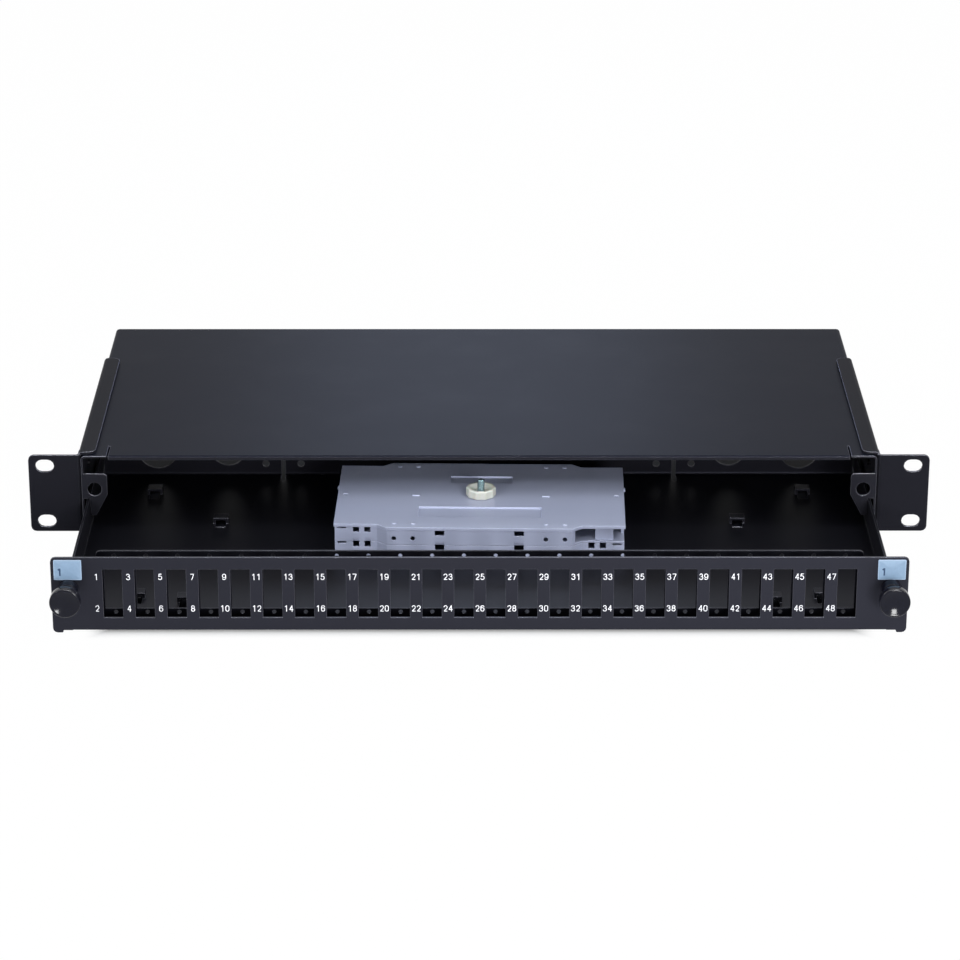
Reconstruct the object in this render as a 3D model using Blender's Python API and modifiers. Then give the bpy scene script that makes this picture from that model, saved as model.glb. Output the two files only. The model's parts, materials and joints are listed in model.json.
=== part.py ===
"""A sliding fibre distribution box for a 19 inch rack, one unit high, with its drawer pulled out part of the way.

The rack frame has X to the right, Y to the rear and Z up. Y is 0 on the front faces of the rack ears, and Z is 0
under the base plate. The root empty carries that frame to the origin, which is the middle of the footprint.
"""

import math

import bmesh
import bpy
from mathutils import Matrix, Vector

MM = 0.001

# Sheet metal and clearances
SHELL_SHEET = 1.0 * MM
DRAWER_SHEET = 1.2 * MM
PANEL_SHEET = 1.2 * MM
BRACKET_SHEET = 1.3 * MM
SEAT_GAP = 0.3 * MM
SLIDE_GAP = 0.4 * MM
OVERLAP = 0.6 * MM
THROUGH = 2.0 * MM

# Rack brackets
RACK_WIDTH = 482.6 * MM
RACK_SLOT_INSET = 8.75 * MM
EAR_REACH = 28.1 * MM
RACK_HOLE_RISE = 31.75 * MM
EAR_BOTTOM = 0.3 * MM
EAR_SLOT_MARGIN = 6.025 * MM
EAR_CORNER = 2.9 * MM
EAR_SLOT_LENGTH = 10.0 * MM
EAR_SLOT_HEIGHT = 7.0 * MM
BRACKET_BEND = 2.3 * MM
BRACKET_SETBACK = 54.6 * MM
BRACKET_FLANGE_START = 2.0 * MM
BRACKET_FLANGE_WIDTH = 9.3 * MM
BRACKET_FLANGE_CORNER = 4.5 * MM

# Housing shell and base plate
SHELL_DEPTH = 205.3 * MM
SHELL_TOP = 43.6 * MM
SHELL_BEND = 2.2 * MM
LIP_DROP = 2.2 * MM
LIP_BEND = 1.3 * MM
LIP_RUN = 4.0 * MM
CORNER_WIDTH = 13.7 * MM
SLIT_WIDTH = 1.0 * MM
SLIT_LENGTH = 15.0 * MM
TAB_RISE = 8.9 * MM
TAB_STEP_GAP = 0.7 * MM
TAB_INNER_DROP = 3.2 * MM
TAB_TIP_RISE = 7.0 * MM
TAB_TIP_WIDTH = 3.2 * MM
TAB_CORNER = 2.0 * MM
BASE_FLANGE = 9.5 * MM
BASE_FRONT_SETBACK = 4.0 * MM
BASE_REAR_SETBACK = 2.0 * MM

# Countersunk screws of the housing
SCREW_RADIUS = 1.5 * MM
SCREW_HEAD_RADIUS = 2.9 * MM
SCREW_HEAD_DEPTH = 0.9 * MM
SCREW_RECESS_RADIUS = 1.1 * MM
SCREW_UPPER_DROP = 13.6 * MM
SCREW_LOWER_Z = 5.6 * MM
SCREW_FRONT_SETBACK = 26.0 * MM
SCREW_BACK_SETBACK = 20.7 * MM
SCREW_REAR_SETBACK = 25.3 * MM

# Drawer
DRAWER_OUT = 131.4 * MM
DRAWER_OVERRUN = 3.1 * MM
DRAWER_WALL_DROP = 2.3 * MM
DRAWER_BEND = 1.8 * MM
REAR_WALL_GAP = 1.1 * MM
REAR_WALL_BEND = 2.4 * MM
REAR_WALL_FOOT = 6.0 * MM

# Cable entries, slots and small holes of the drawer's rear wall
ENTRY_Z = 17.2 * MM
ENTRY_OUTER_INSET = 31.7 * MM
ENTRY_OUTER_RADIUS = 11.0 * MM
ENTRY_INNER_INSET = 71.0 * MM
ENTRY_INNER_RADIUS = 9.3 * MM
CABLE_SLOT_INSET = 101.5 * MM
CABLE_SLOT_WIDTH = 2.3 * MM
CABLE_SLOT_TOP = 24.0 * MM
CABLE_SLOT_RUN = 10.0 * MM
TIE_HOLE_OFFSET = 9.8 * MM
TIE_HOLE_Z = 9.0 * MM
TIE_HOLE_RADIUS = 2.0 * MM

# Raised bridges for cable ties on the drawer floor
REAR_OUTER_BRIDGE_INSET = 32.0 * MM
REAR_OUTER_BRIDGE_SETBACK = 28.2 * MM
REAR_INNER_BRIDGE_INSET = 71.0 * MM
REAR_INNER_BRIDGE_SETBACK = 70.2 * MM
FRONT_OUTER_BRIDGE_INSET = 34.5 * MM
FRONT_OUTER_BRIDGE_SETBACK = 38.4 * MM
FRONT_INNER_BRIDGE_INSET = 59.5 * MM
FRONT_INNER_BRIDGE_SETBACK = 33.4 * MM
BRIDGE_HOLE_WIDTH = 5.6 * MM
BRIDGE_HOLE_LENGTH = 19.0 * MM
BRIDGE_WIDTH = 6.4 * MM
BRIDGE_RISE = 3.2 * MM

# Front panel and its openings
PANEL_OVERHANG = 1.9 * MM
PANEL_FOOT = 1.3 * MM
PANEL_FOOT_WIDTH = 5.2 * MM
PANEL_CORNER = 2.4 * MM
PANEL_EDGE = 0.6 * MM
LOW_FLANGE_DEPTH = 4.0 * MM
LOW_FLANGE_SIDE_GAP = 5.5 * MM
PORT_COUNT = 24
PORT_MARGIN = 30.755 * MM
PORT_WEB = 6.23 * MM
PORT_SILL_RISE = 6.8 * MM
PORT_HEAD_DROP = 6.4 * MM

# Adapter plate, which stands on the drawer floor behind the front panel
ADAPTER_SHEET = 1.2 * MM
ADAPTER_SETBACK = 11.2 * MM
ADAPTER_DROP = 1.6 * MM
ADAPTER_INSET = 21.5 * MM
ADAPTER_CORNER = 2.3 * MM
ADAPTER_MARGIN = 0.3 * MM
ADAPTER_HOLE_RADIUS = 1.1 * MM
ADAPTER_HOLE_OFFSET = 2.15 * MM
ADAPTER_TAB_WIDTH = 4.4 * MM
ADAPTER_TAB_REACH = 6.0 * MM
ADAPTER_TAB_WEBS = 4

# Labels
LABEL_WIDTH = 14.0 * MM
LABEL_LATCH_GAP = 0.2 * MM
LABEL_THICKNESS = 0.4 * MM
LABEL_EDGE = 1.6 * MM
LABEL_DROP = 1.2 * MM
LABEL_GAP = 0.1 * MM

# Drawer latches
LATCH_INSET = 6.9 * MM
LATCH_DROP = 16.5 * MM
BARREL_RADIUS = 3.4 * MM
BARREL_REACH = 4.6 * MM
BARREL_WALL = 0.9 * MM
BARREL_SLOT = 0.9 * MM
COLLAR_RADIUS = 4.9 * MM
COLLAR_LENGTH = 7.4 * MM
COLLAR_NECK = 0.6 * MM
COLLAR_NECK_LENGTH = 1.0 * MM
COLLAR_EDGE = 0.6 * MM
PLUNGER_TRAVEL = 7.0 * MM
KNOB_REACH = 20.0 * MM
KNOB_RADIUS = 7.75 * MM
KNOB_THICKNESS = 5.2 * MM
KNOB_DISH = 1.5 * MM
KNOB_RIM = 1.2 * MM

# Splice tray stack
STUD_X = 1.0 * MM
STUD_SETBACK = 79.0 * MM
STUD_RADIUS = 2.0 * MM
STUD_FLANGE_WIDTH = 0.8 * MM
STUD_FLANGE_HEIGHT = 0.9 * MM
STUD_REACH = 4.3 * MM
STUD_SEAT = 0.1 * MM
STACK_TURN = -1.3
TRAY_HALF_WIDTH = 76.8 * MM
TRAY_HALF_DEPTH = 41.7 * MM
TRAY_BULGE = 4.4 * MM
TRAY_BULGE_INSET = 27.8 * MM
TRAY_BULGE_SLOPE = 5.2 * MM
TRAY_HEIGHT = 8.2 * MM
TRAY_WALL = 1.5 * MM
TRAY_FLOOR = 1.2 * MM
TRAY_INSET = 0.5 * MM
STACK_GAP = 0.2 * MM
LID_THICKNESS = 1.7 * MM
BOSS_WALL = 3.8 * MM
SPOOL_INSET = 29.8 * MM
SPOOL_RADIUS = 19.0 * MM
SPOOL_WALL = 1.3 * MM
SPOOL_DROP = 0.8 * MM
SPOOL_GATE = 9.0 * MM
INNER_NOTCH_X = 18.4 * MM
INNER_NOTCH_WIDTH = 5.0 * MM
OUTER_NOTCH_INSET = 19.4 * MM
OUTER_NOTCH_WIDTH = 3.3 * MM
OUTER_NOTCH_PITCH = 6.0 * MM
NOTCH_DROP = 2.9 * MM
NOTCH_FOOT = 1.6 * MM
CLIP_SLOT_INSET = 6.6 * MM
CLIP_SLOT_WIDTH = 4.8 * MM
CLIP_SLOT_DROP = 1.0 * MM
PEG_HOLE_INSET = 4.0 * MM
PEG_HOLE_PITCH = 10.0 * MM
PEG_HOLE_Z = 3.6 * MM
PEG_HOLE_RADIUS = 1.3 * MM
GATE_INSET = 26.4 * MM
GATE_DEPTH = 12.0 * MM
GATE_BLOCK_INSET = 15.8 * MM
GATE_BLOCK_WIDTH = 9.5 * MM
GATE_BLOCK_SETBACK = 3.2 * MM

# Lid details
BIG_RECESS = (65.2 * MM, 14.0 * MM)
BIG_RECESS_INSET = 17.9 * MM
SMALL_RECESS = (33.2 * MM, 10.0 * MM)
SMALL_RECESS_INSET = 19.3 * MM
RECESS_DEPTH = 0.9 * MM
PIP_RADIUS = 1.2 * MM
PIP_HEIGHT = 0.5 * MM
PIP_INSET = 5.5 * MM
BAR_X = 34.8 * MM
BAR_SIZE = (3.8 * MM, 1.3 * MM)
BAR_Y = -1.1 * MM
KEY_HOLE_INSET = 4.2 * MM
KEY_HOLE_SIZE = (2.4 * MM, 2.0 * MM)
NUB_SIZE = (0.8 * MM, 3.0 * MM)
NUB_Y = 12.0 * MM

# Splice holders
HOLDER_LENGTH = 34.0 * MM
HOLDER_DEPTH = 22.0 * MM
HOLDER_DROP = 1.4 * MM
HOLDER_BASE = 1.2 * MM
HOLDER_RIBS = 7
HOLDER_RIB = 1.2 * MM
HOLDER_Y = 24.5 * MM

# Tray nut
NUT_RADIUS = 8.0 * MM
NUT_LOBES = 12
NUT_LOBE_DEPTH = 0.25 * MM
NUT_HEIGHT = 4.6 * MM
NUT_DISH_RADIUS = 5.6 * MM
NUT_DISH_DEPTH = 1.7 * MM

ROUND_STEPS = 24
SMALL_ROUND_STEPS = 12
TINY_ROUND_STEPS = 6
BEND_STEPS = 3

# Housing sizes that follow from those above
EAR_HEIGHT = RACK_HOLE_RISE + 2 * EAR_SLOT_MARGIN
EAR_SLOT_X = RACK_WIDTH / 2 - RACK_SLOT_INSET
RACK_MIDDLE = EAR_BOTTOM + EAR_HEIGHT / 2
SHELL_HALF = RACK_WIDTH / 2 - EAR_REACH
CORNER_START = SHELL_HALF - CORNER_WIDTH
BASE_HALF = SHELL_HALF - SHELL_SHEET - SEAT_GAP
BRACKET_INNER = SHELL_HALF + SEAT_GAP
BRACKET_OUTER = BRACKET_INNER + BRACKET_SHEET
BRACKET_TOP = SHELL_TOP + SEAT_GAP + BRACKET_SHEET
BRACKET_LENGTH = SHELL_DEPTH - BRACKET_SETBACK
SCREW_UPPER_Z = SHELL_TOP - SCREW_UPPER_DROP

# Drawer and panel sizes that follow
DRAWER_HALF = BASE_HALF - SHELL_SHEET - SLIDE_GAP
DRAWER_BOTTOM = SHELL_SHEET + SLIDE_GAP
FLOOR_TOP = DRAWER_BOTTOM + DRAWER_SHEET
PANEL_BACK = -DRAWER_OUT
PANEL_FRONT = PANEL_BACK - PANEL_SHEET
PANEL_HALF = SHELL_HALF + PANEL_OVERHANG
PANEL_TOP = SHELL_TOP - LIP_DROP - SEAT_GAP
DRAWER_FRONT = PANEL_BACK + SEAT_GAP
REAR_WALL_BACK = PANEL_BACK + SHELL_DEPTH + DRAWER_OVERRUN + DRAWER_SHEET
REAR_WALL_TOP = SHELL_TOP - LIP_DROP - REAR_WALL_GAP
LOW_FLANGE_HALF = DRAWER_HALF - LOW_FLANGE_SIDE_GAP
LOW_FLANGE_BACK = PANEL_BACK + LOW_FLANGE_DEPTH
ADAPTER_FRONT = PANEL_BACK + ADAPTER_SETBACK
ADAPTER_BACK = ADAPTER_FRONT + ADAPTER_SHEET
ADAPTER_HALF = PANEL_HALF - ADAPTER_INSET
ADAPTER_BOTTOM = FLOOR_TOP + SEAT_GAP
ADAPTER_TOP = PANEL_TOP - ADAPTER_DROP
PORT_PITCH = 2 * (PANEL_HALF - PORT_MARGIN) / (PORT_COUNT - 1)
PORT_WIDTH = PORT_PITCH - PORT_WEB
PORT_SILL = DRAWER_BOTTOM + PORT_SILL_RISE
PORT_HEAD = PANEL_TOP - PORT_HEAD_DROP
ENTRY_OUTER_X = DRAWER_HALF - ENTRY_OUTER_INSET
ENTRY_INNER_X = DRAWER_HALF - ENTRY_INNER_INSET
CABLE_SLOT_X = DRAWER_HALF - CABLE_SLOT_INSET
BRIDGE_PLACES = (
    (DRAWER_HALF - REAR_OUTER_BRIDGE_INSET, REAR_WALL_BACK - REAR_OUTER_BRIDGE_SETBACK),
    (DRAWER_HALF - REAR_INNER_BRIDGE_INSET, REAR_WALL_BACK - REAR_INNER_BRIDGE_SETBACK),
    (DRAWER_HALF - FRONT_OUTER_BRIDGE_INSET, PANEL_BACK + FRONT_OUTER_BRIDGE_SETBACK),
    (DRAWER_HALF - FRONT_INNER_BRIDGE_INSET, PANEL_BACK + FRONT_INNER_BRIDGE_SETBACK),
)

# Latch, tab and label sizes that follow
LATCH_X = SHELL_HALF - LATCH_INSET
LATCH_Z = PANEL_TOP - LATCH_DROP
LATCH_HOLE_RADIUS = BARREL_RADIUS + SLIDE_GAP
KNOB_FRONT = PANEL_FRONT - KNOB_REACH
DRAWER_WALL_TOP = LATCH_Z - LATCH_HOLE_RADIUS - DRAWER_WALL_DROP
TAB_TOP = LATCH_Z + TAB_RISE
TAB_STEP = DRAWER_WALL_TOP + TAB_STEP_GAP
TAB_INNER_LOW = LATCH_Z - TAB_INNER_DROP
TAB_TIP = FLOOR_TOP + TAB_TIP_RISE
LABEL_TOP = PANEL_TOP - LABEL_DROP
LABEL_LOW = LATCH_Z + COLLAR_RADIUS - COLLAR_NECK + LABEL_LATCH_GAP

# Splice stack sizes that follow
STUD_PLACE = (STUD_X, REAR_WALL_BACK - STUD_SETBACK)
STUD_FLANGE_RADIUS = STUD_RADIUS + STUD_FLANGE_WIDTH
BOSS_HOLE_RADIUS = STUD_FLANGE_RADIUS + SLIDE_GAP
BOSS_RADIUS = BOSS_HOLE_RADIUS + BOSS_WALL
LOWER_TRAY_Z = FLOOR_TOP + SEAT_GAP
UPPER_TRAY_Z = LOWER_TRAY_Z + TRAY_HEIGHT + STACK_GAP
LID_Z = UPPER_TRAY_Z + TRAY_HEIGHT + STACK_GAP
LID_TOP = LID_Z + LID_THICKNESS
NUT_Z = LID_TOP + STACK_GAP
STUD_TOP = NUT_Z + NUT_HEIGHT + STUD_REACH
TRAY_BULGE_HALF = TRAY_HALF_WIDTH - TRAY_BULGE_INSET
SPOOL_X = TRAY_HALF_WIDTH - SPOOL_INSET
SPOOL_HEIGHT = TRAY_HEIGHT - TRAY_FLOOR - SPOOL_DROP
HOLDER_HEIGHT = TRAY_HEIGHT - TRAY_FLOOR - HOLDER_DROP
OUTER_NOTCH_X = TRAY_HALF_WIDTH - OUTER_NOTCH_INSET
NOTCHES = (
    (INNER_NOTCH_X, INNER_NOTCH_WIDTH, TRAY_HALF_DEPTH + TRAY_BULGE),
    (OUTER_NOTCH_X, OUTER_NOTCH_WIDTH, TRAY_HALF_DEPTH),
    (OUTER_NOTCH_X + OUTER_NOTCH_PITCH, OUTER_NOTCH_WIDTH, TRAY_HALF_DEPTH),
)
CLIP_SLOT_X = TRAY_HALF_WIDTH - CLIP_SLOT_INSET
OUTER_PEG_X = TRAY_BULGE_HALF - PEG_HOLE_INSET
PEG_HOLE_X = (OUTER_PEG_X - PEG_HOLE_PITCH, OUTER_PEG_X)
GATE_START = TRAY_HALF_WIDTH - GATE_INSET
GATE_BLOCK_X = TRAY_HALF_WIDTH - GATE_BLOCK_INSET
BIG_RECESS_Y = BIG_RECESS_INSET - TRAY_HALF_DEPTH
SMALL_RECESS_Y = TRAY_HALF_DEPTH - SMALL_RECESS_INSET
PIP_Y = TRAY_HALF_DEPTH + TRAY_BULGE - PIP_INSET
KEY_HOLE_X = TRAY_HALF_WIDTH - KEY_HOLE_INSET

FRAME_SHIFT = -(KNOB_FRONT + SHELL_DEPTH) / 2
HALF_TURN = Matrix.Diagonal((-1, -1, 1, 1))

for old in list(bpy.data.objects):
    bpy.data.objects.remove(old, do_unlink=True)

PARTS = bpy.data.collections.new("fiber_distribution_box")
HELPERS = bpy.data.collections.new("cutters")


def paint(name, colour, roughness, metallic=0.0):
    """A plain material of one colour."""
    material = bpy.data.materials.new(name)
    material.use_nodes = True
    shader = material.node_tree.nodes["Principled BSDF"]
    shader.inputs["Base Color"].default_value = (*colour, 1.0)
    shader.inputs["Roughness"].default_value = roughness
    shader.inputs["Metallic"].default_value = metallic
    return material


BLACK_COAT = paint("black_powder_coat", (0.020, 0.020, 0.027), 0.45)
BRACKET_COAT = paint("bracket_powder_coat", (0.018, 0.018, 0.025), 0.5)
SCREW_BLACK = paint("blackened_screw", (0.015, 0.015, 0.018), 0.35, 0.8)
LABEL_BLUE = paint("label_blue", (0.30, 0.45, 0.62), 0.6)
LATCH_NYLON = paint("latch_nylon", (0.012, 0.012, 0.018), 0.3)
TRAY_PLASTIC = paint("tray_plastic", (0.33, 0.36, 0.46), 0.45)
HOLDER_RUBBER = paint("holder_rubber", (0.10, 0.10, 0.11), 0.7)
STUD_ZINC = paint("stud_zinc", (0.42, 0.52, 0.55), 0.3, 1.0)
NUT_NYLON = paint("nut_nylon", (0.75, 0.74, 0.66), 0.5)


# Shapes


def keep(name, mesh):
    """A mesh as a new object, with no place in a collection yet."""
    return bpy.data.objects.new(name, mesh)


def mesh_of(name, build):
    """A mesh made by a function that fills a bmesh."""
    bm = bmesh.new()
    build(bm)
    mesh = bpy.data.meshes.new(name)
    bm.to_mesh(mesh)
    bm.free()
    return mesh


def box(name, x, y, z):
    """A box between pairs of coordinates along X, Y and Z."""
    spans = [sorted(pair) for pair in (x, y, z)]
    middle = Vector([(low + high) / 2 for low, high in spans])
    size = Vector([high - low for low, high in spans])
    place = Matrix.Translation(middle) @ Matrix.Diagonal(size.to_4d())
    return keep(name, mesh_of(name, lambda bm: bmesh.ops.create_cube(bm, size=1.0, matrix=place)))


def axis_matrix(axis):
    """Turns local Z to the world axis named."""
    turns = {"X": Matrix.Rotation(math.pi / 2, 4, "Y"), "Y": Matrix.Rotation(-math.pi / 2, 4, "X")}
    return turns.get(axis, Matrix.Identity(4))


def rod(name, axis, centre, span, radius, steps, end_radius=None):
    """A cylinder or cone along an axis. The centre's value on that axis is ignored, and the span takes its place."""
    index = "XYZ".index(axis)
    low, high = span
    middle = Vector(centre)
    middle[index] = (low + high) / 2
    place = Matrix.Translation(middle) @ axis_matrix(axis)
    far_radius = radius if end_radius is None else end_radius

    def build(bm):
        bmesh.ops.create_cone(
            bm, cap_ends=True, segments=steps, radius1=radius, radius2=far_radius, depth=high - low, matrix=place
        )

    return keep(name, mesh_of(name, build))


def rounded(points, radius, closed, steps=BEND_STEPS):
    """The points of a path or outline, with an arc in place of each corner. A radius may be given for each point."""
    radii = radius if isinstance(radius, (list, tuple)) else [radius] * len(points)
    count = len(points)
    result = []
    for i, (point, size) in enumerate(zip(points, radii)):
        at_end = not closed and i in (0, count - 1)
        here = Vector(point)
        if at_end or size <= 0:
            result.append(tuple(here))
            continue
        before = (Vector(points[i - 1]) - here).normalized()
        after = (Vector(points[(i + 1) % count]) - here).normalized()
        half = before.angle(after) / 2
        reach = size / math.tan(half)
        centre = here + (before + after).normalized() * size / math.sin(half)
        start = here + before * reach - centre
        end = here + after * reach - centre
        sweep = start.angle_signed(end)
        for k in range(steps + 1):
            turn = Matrix.Rotation(-sweep * k / steps, 2)
            result.append(tuple(centre + turn @ start))
    return result


PLANES = {
    "XY": Matrix.Identity(4),
    "XZ": Matrix(((1, 0, 0, 0), (0, 0, -1, 0), (0, 1, 0, 0), (0, 0, 0, 1))),
    "YZ": Matrix(((0, 0, 1, 0), (1, 0, 0, 0), (0, 1, 0, 0), (0, 0, 0, 1))),
}
NORMAL_SIGN = {"XY": 1, "XZ": -1, "YZ": 1}


def welded(name, source):
    """The evaluated mesh of a temporary object, welded, in world coordinates."""
    bpy.context.scene.collection.objects.link(source)
    bpy.context.view_layer.update()
    graph = bpy.context.evaluated_depsgraph_get()
    mesh = bpy.data.meshes.new_from_object(source.evaluated_get(graph))
    mesh.transform(source.matrix_world)
    bpy.data.objects.remove(source, do_unlink=True)
    bm = bmesh.new()
    bm.from_mesh(mesh)
    bmesh.ops.remove_doubles(bm, verts=bm.verts, dist=1e-6)
    bmesh.ops.recalc_face_normals(bm, faces=bm.faces)
    bm.to_mesh(mesh)
    bm.free()
    mesh.name = name
    return keep(name, mesh)


def plate(name, plane, outline, span, holes=()):
    """A flat outline, with holes if it has any, between two coordinates on the axis across its plane."""
    curve = bpy.data.curves.new(name, "CURVE")
    curve.dimensions = "2D"
    curve.fill_mode = "BOTH"
    low, high = sorted(span)
    curve.extrude = (high - low) / 2
    for ring in (outline, *holes):
        spline = curve.splines.new("POLY")
        spline.points.add(len(ring) - 1)
        for point, (u, v) in zip(spline.points, ring):
            point.co = (u, v, 0.0, 1.0)
        spline.use_cyclic_u = True
    source = keep(name, curve)
    across = NORMAL_SIGN[plane] * (low + high) / 2
    source.matrix_world = PLANES[plane] @ Matrix.Translation((0.0, 0.0, across))
    return welded(name, source)


def folded_sheet(name, plane, path, bend, span, thickness):
    """A sheet folded along a path that follows its outer face. The thickness lies to the left of the path."""
    line = rounded(path, bend, closed=False)
    low, high = sorted(span)

    def build(bm):
        first = [bm.verts.new((u, v, NORMAL_SIGN[plane] * low)) for u, v in line]
        edges = [bm.edges.new(pair) for pair in zip(first, first[1:])]
        made = bmesh.ops.extrude_edge_only(bm, edges=edges)
        moved = [item for item in made["geom"] if isinstance(item, bmesh.types.BMVert)]
        bmesh.ops.translate(bm, verts=moved, vec=(0, 0, NORMAL_SIGN[plane] * (high - low)))

    source = keep(name, mesh_of(name, build))
    source.matrix_world = PLANES[plane]
    wall = source.modifiers.new("thickness", "SOLIDIFY")
    wall.thickness = thickness
    wall.offset = 1.0 if NORMAL_SIGN[plane] > 0 else -1.0
    wall.use_even_offset = True
    return welded(name, source)


def turned(name, profile, steps, place):
    """A turned shape: a profile of (radius, height) pairs from the top down, spun about local Z."""
    mesh = bpy.data.meshes.new(name)
    points = [(radius, 0.0, height) for radius, height in profile]
    edges = [(i, i + 1) for i in range(len(points) - 1)]
    if profile[0][0] > 0:
        edges.append((len(points) - 1, 0))
    mesh.from_pydata(points, edges, [])
    source = keep(name, mesh)
    source.matrix_world = place
    spin = source.modifiers.new("spin", "SCREW")
    spin.steps = steps
    spin.render_steps = steps
    spin.use_merge_vertices = True
    spin.merge_threshold = 1e-6
    return welded(name, source)


def circle(radius, steps, u=0.0, v=0.0):
    """The points of a circle in a plane."""
    angles = [2 * math.pi * k / steps for k in range(steps)]
    return [(u + radius * math.cos(a), v + radius * math.sin(a)) for a in angles]


def capsule(length, height, u, v, steps=6):
    """The points of a slot with round ends, lying along the first axis."""
    radius = height / 2
    reach = length / 2 - radius
    points = []
    for side in (1, -1):
        for k in range(steps + 1):
            angle = math.pi * (k / steps - 0.5) + (0 if side > 0 else math.pi)
            points.append((u + side * reach + radius * math.cos(angle), v + radius * math.sin(angle)))
    return points


# Objects, Booleans and places


def helpers_of(target, label, tools):
    """The tools of one Boolean, in a collection of their own that is neither rendered nor shown solid."""
    group = bpy.data.collections.new(f"{target.name}_{label}")
    HELPERS.children.link(group)
    for tool in tools:
        group.objects.link(tool)
        tool.hide_render = True
        tool.display_type = "WIRE"
        tool.parent = target.parent
        tool.matrix_parent_inverse = target.matrix_parent_inverse
    return group


def boolean(target, operation, label, tools):
    """Joins tools to a target or cuts them from it, all at once."""
    step = target.modifiers.new(label, "BOOLEAN")
    step.operation = operation
    step.solver = "EXACT"
    step.use_self = len(tools) == 1
    step.operand_type = "COLLECTION"
    step.collection = helpers_of(target, label, tools)


def join(target, *tools):
    boolean(target, "UNION", f"joined_{len(target.modifiers)}", tools)


def cut(target, *tools):
    boolean(target, "DIFFERENCE", f"cut_{len(target.modifiers)}", tools)


def finish(item, name, material, parent, smooth=False):
    """Names a piece, gives it its material and hangs it on the empty that carries it."""
    item.name = name
    item.data.name = name
    item.data.materials.clear()
    item.data.materials.append(material)
    PARTS.objects.link(item)
    item.parent = parent
    item.matrix_parent_inverse = Matrix.Translation(-Vector(parent["rack_place"]))
    if smooth:
        item.data.shade_smooth()
        item.data.set_sharp_from_angle(angle=math.radians(35))
    return item


def carrier(name, parent, place, turn=0.0):
    """An empty on the axis of a joint. Its children keep the coordinates of the rack frame."""
    empty = bpy.data.objects.new(name, None)
    PARTS.objects.link(empty)
    empty.empty_display_size = 0.02
    empty.parent = parent
    above = Vector(parent["rack_place"]) if parent else Vector((0, -FRAME_SHIFT, 0))
    empty.location = Vector(place) - above
    empty.rotation_euler = (0.0, 0.0, math.radians(turn))
    empty["rack_place"] = list(place)
    return empty


ROOT = carrier("housing", None, (0.0, 0.0, 0.0))
DRAWER = carrier("drawer_slide", ROOT, (0.0, PANEL_FRONT, RACK_MIDDLE))
STACK = carrier("tray_turn", DRAWER, (*STUD_PLACE, LOWER_TRAY_Z), STACK_TURN)
NUT = carrier("nut_turn", DRAWER, (*STUD_PLACE, NUT_Z))


# Housing


def housing_screws(side):
    """The places of one side's screws, each with the half width where its head is flush."""
    front = SCREW_FRONT_SETBACK
    back = BRACKET_LENGTH - SCREW_BACK_SETBACK
    places = [(y, SCREW_UPPER_Z, BRACKET_OUTER) for y in (front, back)]
    places.append(((front + back) / 2, SCREW_LOWER_Z, BRACKET_OUTER))
    places.append((SHELL_DEPTH - SCREW_REAR_SETBACK, SCREW_LOWER_Z, SHELL_HALF))
    return [(side * face, y, z) for y, z, face in places]


def screw_holes(side, clearance=SEAT_GAP):
    """Cutters for a side's screws: a clearance hole through every sheet, and a countersink under each head."""
    tools = []
    inner = side * (BASE_HALF - SHELL_SHEET - THROUGH)
    for face, y, z in housing_screws(side):
        outer = face + side * THROUGH
        shank = SCREW_RADIUS + clearance
        tools.append(rod("shank_hole", "X", (0, y, z), sorted((inner, outer)), shank, SMALL_ROUND_STEPS))
        base = face - side * (SCREW_HEAD_DEPTH + clearance)
        head = SCREW_HEAD_RADIUS + clearance
        radii = (shank, head) if side > 0 else (head, shank)
        tools.append(rod("head_hole", "X", (0, y, z), sorted((base, face)), radii[0], SMALL_ROUND_STEPS, radii[1]))
    return tools


def make_screw(side, index, place):
    """A countersunk screw, flush with the sheet that it holds, with a round drive recess."""
    face, y, z = place
    tip = side * (BASE_HALF - SHELL_SHEET + OVERLAP / 4)
    place_matrix = Matrix.Translation((0, y, z)) @ Matrix.Rotation(side * math.pi / 2, 4, "Y")
    top = abs(face)
    profile = [
        (0.0, top - SCREW_HEAD_DEPTH * 0.6),
        (SCREW_RECESS_RADIUS * 0.5, top - SCREW_HEAD_DEPTH * 0.6),
        (SCREW_RECESS_RADIUS, top),
        (SCREW_HEAD_RADIUS, top),
        (SCREW_RADIUS, top - SCREW_HEAD_DEPTH),
        (SCREW_RADIUS, abs(tip)),
        (0.0, abs(tip)),
    ]
    screw = turned("screw", profile, SMALL_ROUND_STEPS, place_matrix)
    label = "right" if side > 0 else "left"
    finish(screw, f"housing_screw_{label}_{index}", SCREW_BLACK, ROOT, smooth=True)


def latch_tab(side):
    """The outline of the tab at a front corner, which takes the latch and stops the drawer's rear wall."""
    inner = CORNER_START
    slide = DRAWER_HALF - DRAWER_SHEET - SEAT_GAP
    points = [
        (inner, TAB_TOP),
        (inner, TAB_INNER_LOW),
        (slide - TAB_TIP_WIDTH, TAB_TIP),
        (slide, TAB_TIP + SEAT_GAP),
        (slide, TAB_STEP),
        (SHELL_HALF - OVERLAP, TAB_STEP),
        (SHELL_HALF - OVERLAP, TAB_TOP),
    ]
    radii = [TAB_CORNER, TAB_CORNER, OVERLAP, 0, 0, 0, 0]
    outline = [(side * u, v) for u, v in rounded(points, radii, closed=True)]
    hole = circle(LATCH_HOLE_RADIUS, ROUND_STEPS, side * LATCH_X, LATCH_Z)
    return plate("latch_tab", "XZ", outline, (0, SHELL_SHEET), [hole])


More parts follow.
